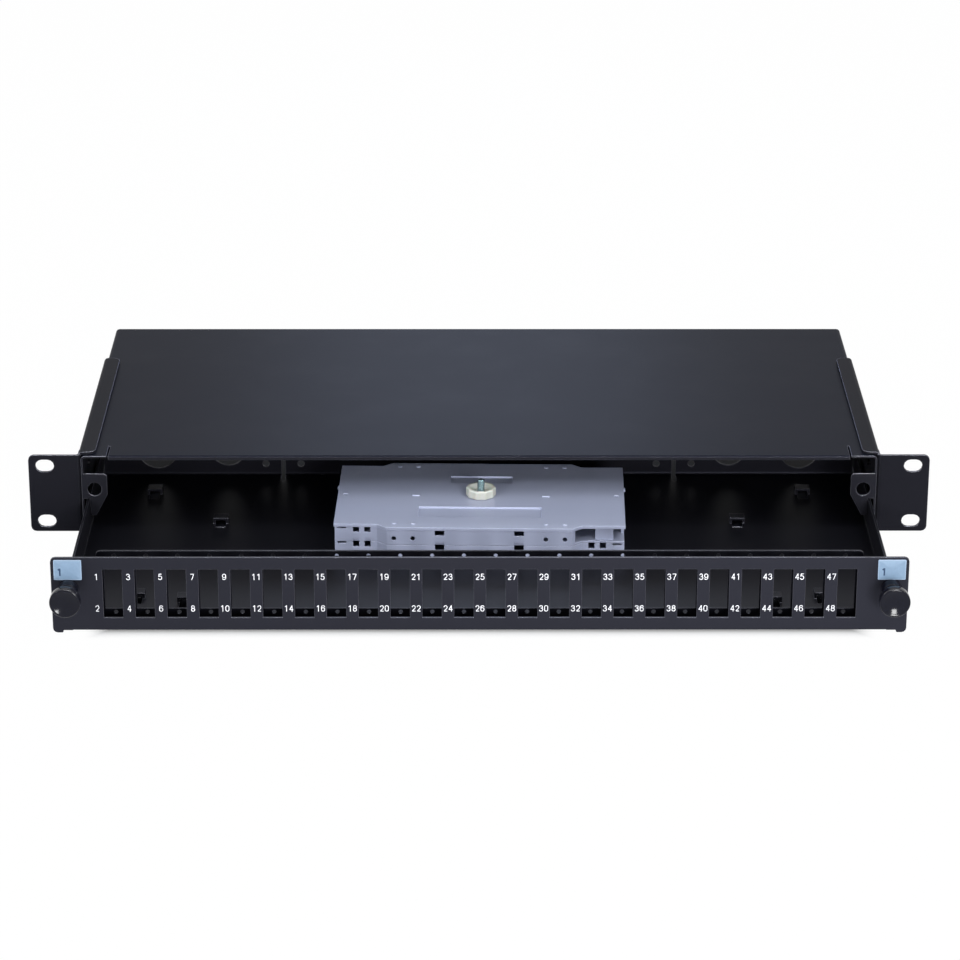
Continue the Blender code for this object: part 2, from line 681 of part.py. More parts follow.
def make_shell():
    """One sheet folded over the top and down both sides, with a dropped lip between two relief slits."""
    path = [(SHELL_HALF, 0), (SHELL_HALF, SHELL_TOP), (-SHELL_HALF, SHELL_TOP), (-SHELL_HALF, 0)]
    shell = folded_sheet("shell", "XZ", path, SHELL_BEND, (0, SHELL_DEPTH), SHELL_SHEET)
    finish(shell, "housing_shell", BLACK_COAT, ROOT)
    lip_half = CORNER_START - SLIT_WIDTH
    above = SHELL_TOP + THROUGH
    below = SHELL_TOP - SHELL_SHEET - THROUGH
    tools = [box("lip_notch", (-CORNER_START, CORNER_START), (-THROUGH, LIP_RUN - OVERLAP), (below, above))]
    for side in (1, -1):
        slit = sorted((side * lip_half, side * CORNER_START))
        tools.append(box("slit", slit, (-THROUGH, SLIT_LENGTH), (below, above)))
    cut(shell, *tools)
    lip_path = [(LIP_RUN, SHELL_TOP), (0, SHELL_TOP), (0, SHELL_TOP - LIP_DROP)]
    lip = folded_sheet("lip", "YZ", lip_path, LIP_BEND, (-lip_half, lip_half), SHELL_SHEET)
    join(shell, lip, latch_tab(1), latch_tab(-1))
    cut(shell, *screw_holes(1), *screw_holes(-1))


def make_base():
    """The flat base plate, with a low flange up each side inside the shell."""
    path = [(-BASE_HALF, BASE_FLANGE), (-BASE_HALF, 0), (BASE_HALF, 0), (BASE_HALF, BASE_FLANGE)]
    span = (BASE_FRONT_SETBACK, SHELL_DEPTH - BASE_REAR_SETBACK)
    base = folded_sheet("base", "XZ", path, SHELL_SHEET * 1.5, span, SHELL_SHEET)
    finish(base, "base_plate", BLACK_COAT, ROOT)
    cut(base, *screw_holes(1), *screw_holes(-1))


def make_bracket(side):
    """A rack bracket that lies along the shell's side, hooks over its top and turns out into the slotted ear."""
    ear_half = RACK_WIDTH / 2
    ear_top = EAR_BOTTOM + EAR_HEIGHT
    sheet = BRACKET_SHEET
    hook_path = [(BRACKET_OUTER, EAR_BOTTOM), (BRACKET_OUTER, BRACKET_TOP)]
    hook_path.append((BRACKET_OUTER - BRACKET_FLANGE_WIDTH, BRACKET_TOP))
    span = (BRACKET_FLANGE_START, BRACKET_LENGTH)
    wall = folded_sheet("wall", "XZ", hook_path, BRACKET_BEND, span, sheet)
    turn_path = [(BRACKET_INNER, BRACKET_FLANGE_START * 4), (BRACKET_INNER, 0), (BRACKET_OUTER + BRACKET_BEND * 2, 0)]
    corner = folded_sheet("corner", "XY", turn_path, BRACKET_BEND, (EAR_BOTTOM, ear_top), sheet)
    start = BRACKET_OUTER + BRACKET_BEND
    outline = [(start, EAR_BOTTOM), (ear_half, EAR_BOTTOM), (ear_half, ear_top), (start, ear_top)]
    outline = rounded(outline, [0, EAR_CORNER, EAR_CORNER, 0], closed=True)
    slots = []
    for rise in (-1, 1):
        z = RACK_MIDDLE + rise * RACK_HOLE_RISE / 2
        slots.append(capsule(EAR_SLOT_LENGTH, EAR_SLOT_HEIGHT, EAR_SLOT_X, z))
    ear = plate("ear", "XZ", outline, (0, sheet), slots)
    flip = Matrix.Diagonal((side, 1, 1, 1))
    for item in (wall, corner, ear):
        item.data.transform(flip)
        if side < 0:
            item.data.flip_normals()
    label = "right" if side > 0 else "left"
    finish(wall, f"rack_bracket_{label}", BRACKET_COAT, ROOT)
    join(wall, corner, ear)
    tools = [tool for tool in screw_holes(side)]
    tools.extend(flange_corner(side, y) for y in span)
    cut(wall, *tools)


def flange_corner(side, y):
    """A cutter that rounds one inner corner of a bracket's top flange."""
    inward = 1 if y < BRACKET_LENGTH / 2 else -1
    radius = BRACKET_FLANGE_CORNER
    edge = BRACKET_OUTER - BRACKET_FLANGE_WIDTH
    arc = [(edge + radius * (1 - math.sin(a)), y + inward * radius * (1 - math.cos(a))) for a in quarter_turn()]
    spare = THROUGH
    outline = [(edge - spare, y - inward * spare), *reversed(arc)]
    outline.insert(1, (edge + radius, y - inward * spare))
    outline.append((edge - spare, y + inward * radius))
    outline = [(side * u, v) for u, v in outline]
    return plate("flange_corner", "XY", outline, (SHELL_TOP + SEAT_GAP / 2, BRACKET_TOP + spare))


def quarter_turn(steps=5):
    """Angles from a quarter turn down to nothing."""
    return [math.pi / 2 * (1 - k / steps) for k in range(steps + 1)]


# Drawer


def bridge_tools(x, y):
    """The bridge of one tie point, as boxes to join, and the hole below it, to cut."""
    half = BRIDGE_WIDTH / 2
    top = FLOOR_TOP + BRIDGE_RISE
    edge = BRIDGE_HOLE_WIDTH / 2 + DRAWER_SHEET
    span_y = (y - half, y + half)
    deck = box("bridge_deck", (x - edge, x + edge), span_y, (top - DRAWER_SHEET, top))
    legs = []
    for side in (1, -1):
        leg = (x + side * BRIDGE_HOLE_WIDTH / 2, x + side * edge)
        legs.append(box("bridge_leg", leg, span_y, (DRAWER_BOTTOM + DRAWER_SHEET / 2, top)))
    reach = BRIDGE_HOLE_LENGTH / 2
    wide = BRIDGE_HOLE_WIDTH / 2
    height = (DRAWER_BOTTOM - THROUGH, FLOOR_TOP + OVERLAP)
    hole = box("bridge_hole", (x - wide, x + wide), (y - reach, y + reach), height)
    return [deck, *legs], hole


def port_centres():
    """The X of the middle of each port, from left to right."""
    return [(i - (PORT_COUNT - 1) / 2) * PORT_PITCH for i in range(PORT_COUNT)]


def make_drawer():
    """The drawer tray: a floor with low side walls and a tall rear wall, notched in front for the panel's flange."""
    half = DRAWER_HALF
    wall_end = REAR_WALL_BACK - REAR_WALL_FOOT + OVERLAP
    path = [(-half, DRAWER_WALL_TOP), (-half, DRAWER_BOTTOM), (half, DRAWER_BOTTOM), (half, DRAWER_WALL_TOP)]
    tray = folded_sheet("tray", "XZ", path, DRAWER_BEND, (DRAWER_FRONT, wall_end), DRAWER_SHEET)
    finish(tray, "drawer_tray", BLACK_COAT, DRAWER)
    notch_half = LOW_FLANGE_HALF + SEAT_GAP
    notch_depth = (DRAWER_FRONT - THROUGH, LOW_FLANGE_BACK + SEAT_GAP)
    notch_height = (DRAWER_BOTTOM - THROUGH, FLOOR_TOP + THROUGH)
    notch = box("flange_notch", (-notch_half, notch_half), notch_depth, notch_height)
    bridges = []
    holes = [notch]
    for x, y in BRIDGE_PLACES:
        for side in (1, -1):
            raised, hole = bridge_tools(side * x, y)
            bridges.extend(raised)
            holes.append(hole)
    cut(tray, *holes)
    rear_half = half - DRAWER_SHEET - SEAT_GAP
    rear_path = [
        (REAR_WALL_BACK - REAR_WALL_FOOT, DRAWER_BOTTOM),
        (REAR_WALL_BACK, DRAWER_BOTTOM),
        (REAR_WALL_BACK, REAR_WALL_TOP),
    ]
    rear = folded_sheet("rear", "YZ", rear_path, REAR_WALL_BEND, (-rear_half, rear_half), DRAWER_SHEET)
    join(tray, rear, *bridges)
    cut(tray, *rear_wall_cutters())


def rear_wall_cutters():
    """The cable entries, the slots that run on into the floor, and the small tie holes beside each slot."""
    tools = []
    span = (REAR_WALL_BACK - DRAWER_SHEET - THROUGH, REAR_WALL_BACK + THROUGH)
    for side in (1, -1):
        for x, radius in ((ENTRY_OUTER_X, ENTRY_OUTER_RADIUS), (ENTRY_INNER_X, ENTRY_INNER_RADIUS)):
            tools.append(rod("entry", "Y", (side * x, 0, ENTRY_Z), span, radius, ROUND_STEPS))
        slot_x = side * CABLE_SLOT_X
        width = (slot_x - CABLE_SLOT_WIDTH / 2, slot_x + CABLE_SLOT_WIDTH / 2)
        start = REAR_WALL_BACK - DRAWER_SHEET - CABLE_SLOT_RUN
        tools.append(box("cable_slot", width, (start, span[1]), (DRAWER_BOTTOM - THROUGH, CABLE_SLOT_TOP)))
        for offset in (-1, 1):
            x = slot_x + offset * TIE_HOLE_OFFSET
            tools.append(rod("tie_hole", "Y", (x, 0, TIE_HOLE_Z), span, TIE_HOLE_RADIUS, SMALL_ROUND_STEPS))
    return tools


def port_outline(x, margin=0.0):
    """The outline of one port, seen from the front, with a margin all round."""
    wide = PORT_WIDTH / 2 + margin
    low = PORT_SILL - margin
    high = PORT_HEAD + margin
    return [(x - wide, low), (x + wide, low), (x + wide, high), (x - wide, high)]


def make_adapter_plate():
    """The plate that carries the fibre adapters: a port behind each port of the panel, and two screw holes for each.

    It stands on the drawer floor by tabs bent forward under some of the webs between the ports.
    """
    outline = [
        (-ADAPTER_HALF, ADAPTER_BOTTOM),
        (ADAPTER_HALF, ADAPTER_BOTTOM),
        (ADAPTER_HALF, ADAPTER_TOP),
        (-ADAPTER_HALF, ADAPTER_TOP),
    ]
    holes = []
    for x in port_centres():
        holes.append(port_outline(x, ADAPTER_MARGIN))
        for z in (PORT_SILL - ADAPTER_HOLE_OFFSET, PORT_HEAD + ADAPTER_HOLE_OFFSET):
            holes.append(circle(ADAPTER_HOLE_RADIUS, SMALL_ROUND_STEPS, x, z))
    corners = rounded(outline, [0, 0, ADAPTER_CORNER, ADAPTER_CORNER], closed=True)
    adapter_plate = plate("adapter", "XZ", corners, (ADAPTER_FRONT, ADAPTER_BACK), holes)
    finish(adapter_plate, "adapter_plate", BLACK_COAT, DRAWER)
    tabs = []
    reach = (ADAPTER_FRONT - ADAPTER_TAB_REACH, ADAPTER_BACK - ADAPTER_SHEET / 3)
    height = (ADAPTER_BOTTOM, ADAPTER_BOTTOM + ADAPTER_SHEET)
    for x in port_centres()[ADAPTER_TAB_WEBS - 1 : -1 : ADAPTER_TAB_WEBS]:
        middle = x + PORT_PITCH / 2
        width = (middle - ADAPTER_TAB_WIDTH / 2, middle + ADAPTER_TAB_WIDTH / 2)
        tabs.append(box("tab", width, reach, height))
    join(adapter_plate, *tabs)


def make_panel():
    """The front panel: a flat face with the ports, and a short flange back along the bottom."""
    foot = DRAWER_BOTTOM - PANEL_FOOT
    half = PANEL_HALF
    inner = half - PANEL_FOOT_WIDTH
    bottom = DRAWER_BOTTOM
    outline = [
        (-half, foot),
        (-inner, foot),
        (-inner, bottom),
        (inner, bottom),
        (inner, foot),
        (half, foot),
        (half, PANEL_TOP),
        (-half, PANEL_TOP),
    ]
    corner = PANEL_CORNER
    radii = [corner, PANEL_FOOT / 2, PANEL_FOOT / 3, PANEL_FOOT / 3, PANEL_FOOT / 2, corner, corner, corner]
    holes = [circle(BARREL_RADIUS + SEAT_GAP, ROUND_STEPS, side * LATCH_X, LATCH_Z) for side in (1, -1)]
    holes.extend(port_outline(x) for x in port_centres())
    panel = plate("face", "XZ", rounded(outline, radii, closed=True), (PANEL_FRONT, PANEL_BACK), holes)
    finish(panel, "front_panel", BLACK_COAT, DRAWER)
    inside = PANEL_BACK - (PANEL_SHEET - PANEL_EDGE) / 2
    low_span = (bottom, bottom + PANEL_SHEET)
    low = box("low", (-LOW_FLANGE_HALF, LOW_FLANGE_HALF), (inside, LOW_FLANGE_BACK), low_span)
    join(panel, low)
    cut(panel, edge_round("low_edge", LOW_FLANGE_HALF, bottom, -1))


def edge_round(name, half, z, up):
    """A cutter that rounds the bend between the panel's face and one of its flanges."""
    y = PANEL_FRONT
    radius = PANEL_EDGE
    arc = [(y + radius * (1 - math.sin(a)), z - up * radius * (1 - math.cos(a))) for a in quarter_turn(3)]
    above = z + up * THROUGH
    outline = [(y - THROUGH, above), (y - THROUGH, arc[0][1]), *arc, (arc[-1][0], above)]
    return plate(name, "YZ", outline, (-half, half))


def make_label(side):
    """A blank label plate at an upper corner of the panel."""
    label = "right" if side > 0 else "left"
    outer = side * (PANEL_HALF - LABEL_EDGE)
    inner = outer - side * LABEL_WIDTH
    back = PANEL_FRONT - LABEL_GAP
    item = box("label", (inner, outer), (back - LABEL_THICKNESS, back), (LABEL_LOW, LABEL_TOP))
    finish(item, f"label_plate_{label}", LABEL_BLUE, DRAWER)


def front_facing(x, z):
    """Carries a turned shape's local Z to -Y, at the latch's place."""
    return Matrix.Translation((x, 0, z)) @ Matrix.Rotation(math.pi / 2, 4, "X")


def make_latch(side):
    """A snap latch: a bushing fixed in the panel and a plunger that slides in it."""
    label = "right" if side > 0 else "left"
    place = front_facing(side * LATCH_X, LATCH_Z)
    face = -PANEL_FRONT
    bore = BARREL_RADIUS - BARREL_WALL
    top = face + COLLAR_LENGTH
    seat = face + SEAT_GAP / 3
    rear = -PANEL_BACK - BARREL_REACH
    bushing_profile = [
        (bore, top),
        (COLLAR_RADIUS - COLLAR_EDGE, top),
        (COLLAR_RADIUS, top - COLLAR_EDGE),
        (COLLAR_RADIUS, seat + COLLAR_NECK_LENGTH),
        (COLLAR_RADIUS - COLLAR_NECK, seat + COLLAR_NECK_LENGTH),
        (COLLAR_RADIUS - COLLAR_NECK, seat),
        (BARREL_RADIUS, seat),
        (BARREL_RADIUS, rear + COLLAR_EDGE),
        (BARREL_RADIUS - BARREL_WALL / 2, rear),
        (bore, rear),
    ]
    bushing = turned("bushing", bushing_profile, ROUND_STEPS, place)
    finish(bushing, f"latch_bushing_{label}", LATCH_NYLON, DRAWER, smooth=True)
    slot_x = side * LATCH_X
    split = box(
        "barrel_split",
        (slot_x - BARREL_SLOT / 2, slot_x + BARREL_SLOT / 2),
        (PANEL_BACK + OVERLAP, PANEL_BACK + BARREL_REACH + THROUGH),
        (LATCH_Z - BARREL_RADIUS - THROUGH, LATCH_Z + BARREL_RADIUS + THROUGH),
    )
    cut(bushing, split)
    slide = carrier(f"latch_slide_{label}", DRAWER, (side * LATCH_X, KNOB_FRONT, LATCH_Z))
    pin = bore - SEAT_GAP
    front = -KNOB_FRONT
    back = front - KNOB_THICKNESS
    knob_profile = [
        (0.0, front - KNOB_DISH),
        (KNOB_RADIUS * 0.45, front - KNOB_DISH * 0.9),
        (KNOB_RADIUS - KNOB_RIM - KNOB_DISH * 0.6, front - KNOB_DISH * 0.35),
        (KNOB_RADIUS - KNOB_RIM, front),
        (KNOB_RADIUS - KNOB_RIM / 3, front - KNOB_RIM / 6),
        (KNOB_RADIUS, front - KNOB_RIM * 0.7),
        (KNOB_RADIUS, back + KNOB_RIM),
        (KNOB_RADIUS - KNOB_RIM, back),
        (pin, back),
        (pin, rear + PLUNGER_TRAVEL / 3 + COLLAR_EDGE),
        (pin - COLLAR_EDGE, rear + PLUNGER_TRAVEL / 3),
        (0.0, rear + PLUNGER_TRAVEL / 3),
    ]
    plunger = turned("plunger", knob_profile, ROUND_STEPS, place)
    finish(plunger, f"latch_plunger_{label}", LATCH_NYLON, slide, smooth=True)


# Splice tray stack. Its pieces are made about the stud, with Z at its place in the rack frame.


def stack_outline(inset=0.0):
    """The outline that the trays and the lid share: a wide body with a shallow bulge along front and back."""
    wide = TRAY_HALF_WIDTH - inset
    deep = TRAY_HALF_DEPTH - inset
    bulge = deep + TRAY_BULGE
    flat = TRAY_BULGE_HALF - inset / 2
    slope = flat + TRAY_BULGE_SLOPE
    quarter = [(wide, deep), (slope, deep), (flat, bulge)]
    right_back = quarter
    left_back = [(-u, v) for u, v in reversed(quarter)]
    left_front = [(-u, -v) for u, v in quarter]
    right_front = [(u, -v) for u, v in reversed(quarter)]
    return right_back + left_back + left_front + right_front


def around_stud(item, name, material):
    """Finishes a piece of the stack, whose mesh is measured from the stud and not from the rack frame."""
    finish(item, name, material, STACK)
    item.matrix_parent_inverse = Matrix.Translation((0, 0, -LOWER_TRAY_Z))
    return item


def tub_walls(name, low):
    """A tub with a floor, open at the top, between the outline and the wall's inner face."""
    outer = stack_outline(TRAY_INSET)
    inner = stack_outline(TRAY_INSET + TRAY_WALL)
    tub = plate(name, "XY", outer, (low, low + TRAY_HEIGHT))
    space = plate("space", "XY", inner, (low + TRAY_FLOOR, low + TRAY_HEIGHT + THROUGH))
    return tub, space


def ring(name, x, y, outer, inner, span, steps):
    """A short tube standing along Z."""
    return plate(name, "XY", circle(outer, steps, x, y), span, [circle(inner, steps, x, y)])


def make_splice_tray(name, low, turn):
    """One splice tray. The lower one is the same moulding, turned half a turn about the stud."""
    tub, space = tub_walls("tub", low)
    top = low + TRAY_HEIGHT
    depth = TRAY_HALF_DEPTH + TRAY_BULGE
    inside = low + TRAY_FLOOR - OVERLAP / 2
    joined = [ring("boss", 0, 0, BOSS_RADIUS, BOSS_HOLE_RADIUS, (inside, top), ROUND_STEPS)]
    gates = []
    for side in (1, -1):
        span = (inside, low + TRAY_FLOOR + SPOOL_HEIGHT)
        x = side * SPOOL_X
        joined.append(ring("spool", x, 0, SPOOL_RADIUS, SPOOL_RADIUS - SPOOL_WALL, span, ROUND_STEPS))
        gate_y = (-SPOOL_GATE / 2, SPOOL_GATE / 2)
        reach = (x - SPOOL_RADIUS - THROUGH, x + SPOOL_RADIUS + THROUGH)
        gates.append(box("gate", reach, gate_y, (low + TRAY_FLOOR, top + THROUGH)))
    block_front = -TRAY_HALF_DEPTH + GATE_BLOCK_SETBACK
    block = box(
        "gate_block",
        (GATE_BLOCK_X, GATE_BLOCK_X + GATE_BLOCK_WIDTH),
        (block_front, block_front + TRAY_WALL),
        (inside, top),
    )
    around_stud(tub, name, TRAY_PLASTIC)
    opening_y = (-depth - THROUGH, -TRAY_HALF_DEPTH + GATE_DEPTH)
    opening = box(
        "corner_opening", (GATE_START, TRAY_HALF_WIDTH + THROUGH), opening_y, (low + TRAY_FLOOR, top + THROUGH)
    )
    hole_span = (low - THROUGH, top + THROUGH)
    stud_hole = rod("stud_hole", "Z", (0, 0, 0), hole_span, BOSS_HOLE_RADIUS, ROUND_STEPS)
    tools = [space, opening, stud_hole, *wall_notches(low, top, depth)]
    if turn:
        for item in (tub, *joined, *gates, block, *tools):
            item.data.transform(HALF_TURN)
    cut(tub, *tools)
    join(tub, block, *joined)
    cut(tub, *gates)


def wall_notches(low, top, depth):
    """The small windows and peg holes in the front and back walls."""
    tools = []
    for face in (1, -1):
        for side in (1, -1):
            for start, width, wall in NOTCHES:
                reach = (face * (wall - TRAY_INSET - TRAY_WALL - OVERLAP), face * (wall + THROUGH))
                x = (side * start, side * (start + width))
                tools.append(box("top_notch", x, reach, (top - NOTCH_DROP, top + THROUGH)))
                foot = (face * (wall - TRAY_INSET - TRAY_WALL * 0.6), face * (wall + THROUGH))
                tools.append(box("foot_notch", x, foot, (low - THROUGH, low + NOTCH_FOOT)))
            x = (side * CLIP_SLOT_X, side * (CLIP_SLOT_X + CLIP_SLOT_WIDTH))
            reach = (face * (TRAY_HALF_DEPTH - TRAY_INSET - TRAY_WALL - OVERLAP), face * (TRAY_HALF_DEPTH + THROUGH))
            tools.append(box("clip_slot", x, reach, (top - CLIP_SLOT_DROP, top + THROUGH)))
            for peg in PEG_HOLE_X:
                reach = sorted((face * (depth - TRAY_INSET - TRAY_WALL - OVERLAP), face * (depth + THROUGH)))
                centre = (side * peg, 0, low + PEG_HOLE_Z)
                tools.append(rod("peg_hole", "Y", centre, reach, PEG_HOLE_RADIUS, SMALL_ROUND_STEPS))
    return tools


def make_lid():
    """The lid, with two label recesses, small raised marks, a key hole at each end and a nub on each side."""
    lid = plate("lid", "XY", stack_outline(), (LID_Z, LID_TOP))
    around_stud(lid, "splice_tray_lid", TRAY_PLASTIC)
    low = LID_TOP - RECESS_DEPTH
    tools = [rod("stud_hole", "Z", (0, 0, 0), (LID_Z - THROUGH, LID_TOP + THROUGH), BOSS_HOLE_RADIUS, ROUND_STEPS)]
    for size, y in ((BIG_RECESS, BIG_RECESS_Y), (SMALL_RECESS, SMALL_RECESS_Y)):
        wide, deep = size[0] / 2, size[1] / 2
        tools.append(box("recess", (-wide, wide), (y - deep, y + deep), (low, LID_TOP + THROUGH)))
    raised = []
    mark_span = (LID_TOP - OVERLAP, LID_TOP + PIP_HEIGHT)
    for side in (1, -1):
        x = side * KEY_HOLE_X
        wide, deep = KEY_HOLE_SIZE[0] / 2, KEY_HOLE_SIZE[1] / 2
        tools.append(box("key_hole", (x - wide, x + wide), (-deep, deep), (LID_Z - THROUGH, LID_TOP + THROUGH)))
        wide, deep = BAR_SIZE[0] / 2, BAR_SIZE[1] / 2
        x = side * BAR_X
        raised.append(box("bar", (x - wide, x + wide), (BAR_Y - deep, BAR_Y + deep), mark_span))
        nub = (side * (TRAY_HALF_WIDTH - OVERLAP), side * (TRAY_HALF_WIDTH + NUB_SIZE[0]))
        raised.append(box("nub", nub, (NUB_Y - NUB_SIZE[1] / 2, NUB_Y + NUB_SIZE[1] / 2), (LID_Z, LID_TOP - OVERLAP)))
        for x in PEG_HOLE_X:
            for y in (PIP_Y, -PIP_Y):
                raised.append(rod("pip", "Z", (side * x, y, 0), mark_span, PIP_RADIUS, TINY_ROUND_STEPS))
    cut(lid, *tools)
    join(lid, *raised)


def make_holder(name, low, side):
    """A ribbed holder for splice protectors, in the middle of a tray's front or back."""
    z = low + TRAY_FLOOR + SEAT_GAP / 3
    y = side * HOLDER_Y
    long, deep = HOLDER_LENGTH / 2, HOLDER_DEPTH / 2
    holder = box("holder", (-long, long), (y - deep, y + deep), (z, z + HOLDER_BASE))
    ribs = []
    room = HOLDER_DEPTH - HOLDER_RIB
    for k in range(HOLDER_RIBS):
        start = y - deep + room * k / (HOLDER_RIBS - 1)
        ribs.append(box("rib", (-long, long), (start, start + HOLDER_RIB), (z + HOLDER_BASE / 2, z + HOLDER_HEIGHT)))
    around_stud(holder, name, HOLDER_RUBBER)
    join(holder, *ribs)


def make_stud():
    """The threaded stud, welded on the drawer floor by its low flange."""
    foot = FLOOR_TOP + STUD_SEAT
    profile = [
        (0.0, STUD_TOP),
        (STUD_RADIUS * 0.7, STUD_TOP),
        (STUD_RADIUS, STUD_TOP - STUD_RADIUS * 0.3),
        (STUD_RADIUS, foot + STUD_FLANGE_HEIGHT),
        (STUD_FLANGE_RADIUS, foot + STUD_FLANGE_HEIGHT * 0.8),
        (STUD_FLANGE_RADIUS, foot),
        (0.0, foot),
    ]
    stud = turned("stud", profile, SMALL_ROUND_STEPS, Matrix.Translation((*STUD_PLACE, 0)))
    finish(stud, "tray_stud", STUD_ZINC, DRAWER, smooth=True)


def make_nut():
    """The nylon thumb nut: lobed round its edge and dished on top."""
    steps = NUT_LOBES * 4
    outline = []
    for k in range(steps):
        angle = 2 * math.pi * k / steps
        radius = NUT_RADIUS - NUT_LOBE_DEPTH * (1 - math.cos(NUT_LOBES * angle)) / 2
        outline.append((radius * math.cos(angle) + STUD_PLACE[0], radius * math.sin(angle) + STUD_PLACE[1]))
    top = NUT_Z + NUT_HEIGHT
    nut = plate("nut", "XY", outline, (NUT_Z, top))
    finish(nut, "tray_nut", NUT_NYLON, NUT, smooth=True)
    dish_profile = [
        (0.0, top + THROUGH),
        (NUT_DISH_RADIUS + THROUGH, top + THROUGH),
        (NUT_DISH_RADIUS, top),
        (NUT_DISH_RADIUS * 0.6, top - NUT_DISH_DEPTH),
        (0.0, top - NUT_DISH_DEPTH),
    ]
    centre = Matrix.Translation((*STUD_PLACE, 0))
    dish = turned("dish", dish_profile, ROUND_STEPS, centre)
    hole = rod("hole", "Z", (*STUD_PLACE, 0), (NUT_Z - THROUGH, top), STUD_RADIUS + SEAT_GAP, SMALL_ROUND_STEPS)
    cut(nut, dish, hole)


make_shell()
make_base()
for SIDE in (1, -1):
    make_bracket(SIDE)
    for INDEX, PLACE in enumerate(housing_screws(SIDE), start=1):
        make_screw(SIDE, INDEX, PLACE)
make_drawer()
make_panel()
make_adapter_plate()
for SIDE in (1, -1):
    make_label(SIDE)
    make_latch(SIDE)
make_stud()
make_splice_tray("splice_tray_lower", LOWER_TRAY_Z, turn=True)
make_splice_tray("splice_tray_upper", UPPER_TRAY_Z, turn=False)
for LEVEL, LOW in (("lower", LOWER_TRAY_Z), ("upper", UPPER_TRAY_Z)):
    for END, SIDE in (("front", -1), ("back", 1)):
        make_holder(f"splice_holder_{LEVEL}_{END}", LOW, SIDE)
make_lid()
make_nut()
bpy.context.scene.collection.children.link(PARTS)
bpy.context.scene.collection.children.link(HELPERS)
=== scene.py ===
"""Finishes of a sliding fibre distribution box for a 19 inch rack, around the packed model of its solids.

Lengths are in metres in the frame of the packed model: X to the right, Y to the rear, Z up, with Z 0 under the box.
"""

import json
import math

import bmesh
import bpy
import numpy as np
from bpy.props import FloatProperty, FloatVectorProperty, IntProperty, PointerProperty
from mathutils import Matrix, Vector


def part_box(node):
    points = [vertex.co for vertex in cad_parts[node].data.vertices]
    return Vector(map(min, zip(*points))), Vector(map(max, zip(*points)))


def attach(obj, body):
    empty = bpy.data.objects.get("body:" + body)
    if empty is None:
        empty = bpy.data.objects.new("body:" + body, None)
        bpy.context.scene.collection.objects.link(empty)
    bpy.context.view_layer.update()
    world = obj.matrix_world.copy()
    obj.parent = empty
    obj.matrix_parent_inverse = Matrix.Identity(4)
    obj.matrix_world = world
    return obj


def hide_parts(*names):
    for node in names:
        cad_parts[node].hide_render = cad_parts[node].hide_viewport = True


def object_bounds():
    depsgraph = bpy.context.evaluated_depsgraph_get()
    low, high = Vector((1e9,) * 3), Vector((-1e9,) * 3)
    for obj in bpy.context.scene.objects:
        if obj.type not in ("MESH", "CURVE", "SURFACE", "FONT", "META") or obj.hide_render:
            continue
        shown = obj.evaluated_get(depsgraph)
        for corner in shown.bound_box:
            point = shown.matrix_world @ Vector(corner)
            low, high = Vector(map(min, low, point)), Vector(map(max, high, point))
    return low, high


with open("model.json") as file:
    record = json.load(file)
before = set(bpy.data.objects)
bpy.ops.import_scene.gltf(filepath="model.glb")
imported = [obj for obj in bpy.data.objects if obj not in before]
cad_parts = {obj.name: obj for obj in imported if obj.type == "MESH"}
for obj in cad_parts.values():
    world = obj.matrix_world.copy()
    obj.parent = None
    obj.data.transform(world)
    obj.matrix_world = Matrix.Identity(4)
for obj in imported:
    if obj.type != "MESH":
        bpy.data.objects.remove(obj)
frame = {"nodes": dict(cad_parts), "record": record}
CAD_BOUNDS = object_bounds()

bl_info = {
    "name": "Fibre distribution box finishes",
    "version": (1, 0, 0),
    "blender": (4, 5, 0),
    "location": "3D View > Sidebar > Fibre box",
    "description": "Coats, mouldings, latches, fasteners, marks and stage of a sliding fibre distribution box",
    "category": "Object",
}

MM = 0.001
SIDES = (("left", -1), ("right", 1))

# Surfaces worked out as arrays


def grid_quads(rows, columns, wrap_rows=False, wrap_columns=True):
    """Quads of a grid of points: each point, its neighbour along the row, and the same two in the next row."""
    row, column = np.meshgrid(
        np.arange(rows if wrap_rows else rows - 1),
        np.arange(columns if wrap_columns else columns - 1),
        indexing="ij",
    )
    below, beside = (row + 1) % rows, (column + 1) % columns
    corners = (row * columns + column, row * columns + beside, below * columns + beside, below * columns + column)
    return np.stack(corners, axis=-1).reshape(-1, 4)


def mesh_from(name, points, quads):
    """A mesh from an array of points and an array of quads."""
    mesh = bpy.data.meshes.new(name)
    mesh.vertices.add(len(points))
    mesh.vertices.foreach_set("co", np.ascontiguousarray(points, dtype=np.float32).ravel())
    mesh.loops.add(quads.size)
    mesh.loops.foreach_set("vertex_index", quads.astype(np.int32).ravel())
    mesh.polygons.add(len(quads))
    mesh.polygons.foreach_set("loop_start", np.arange(0, quads.size, 4, dtype=np.int32))
    mesh.update(calc_edges=True)
    return mesh


def closed(mesh, sharp_degrees=35.0):
    """Merges the points that meet at poles and seams, turns the faces outwards and shades the round parts smooth."""
    bm = bmesh.new()
    bm.from_mesh(mesh)
    bmesh.ops.remove_doubles(bm, verts=bm.verts, dist=1e-7)
    bmesh.ops.holes_fill(bm, edges=[edge for edge in bm.edges if edge.is_boundary], sides=0)
    bmesh.ops.recalc_face_normals(bm, faces=bm.faces)
    bm.to_mesh(mesh)
    bm.free()
    mesh.shade_smooth()
    mesh.set_sharp_from_angle(angle=math.radians(sharp_degrees))
    return mesh


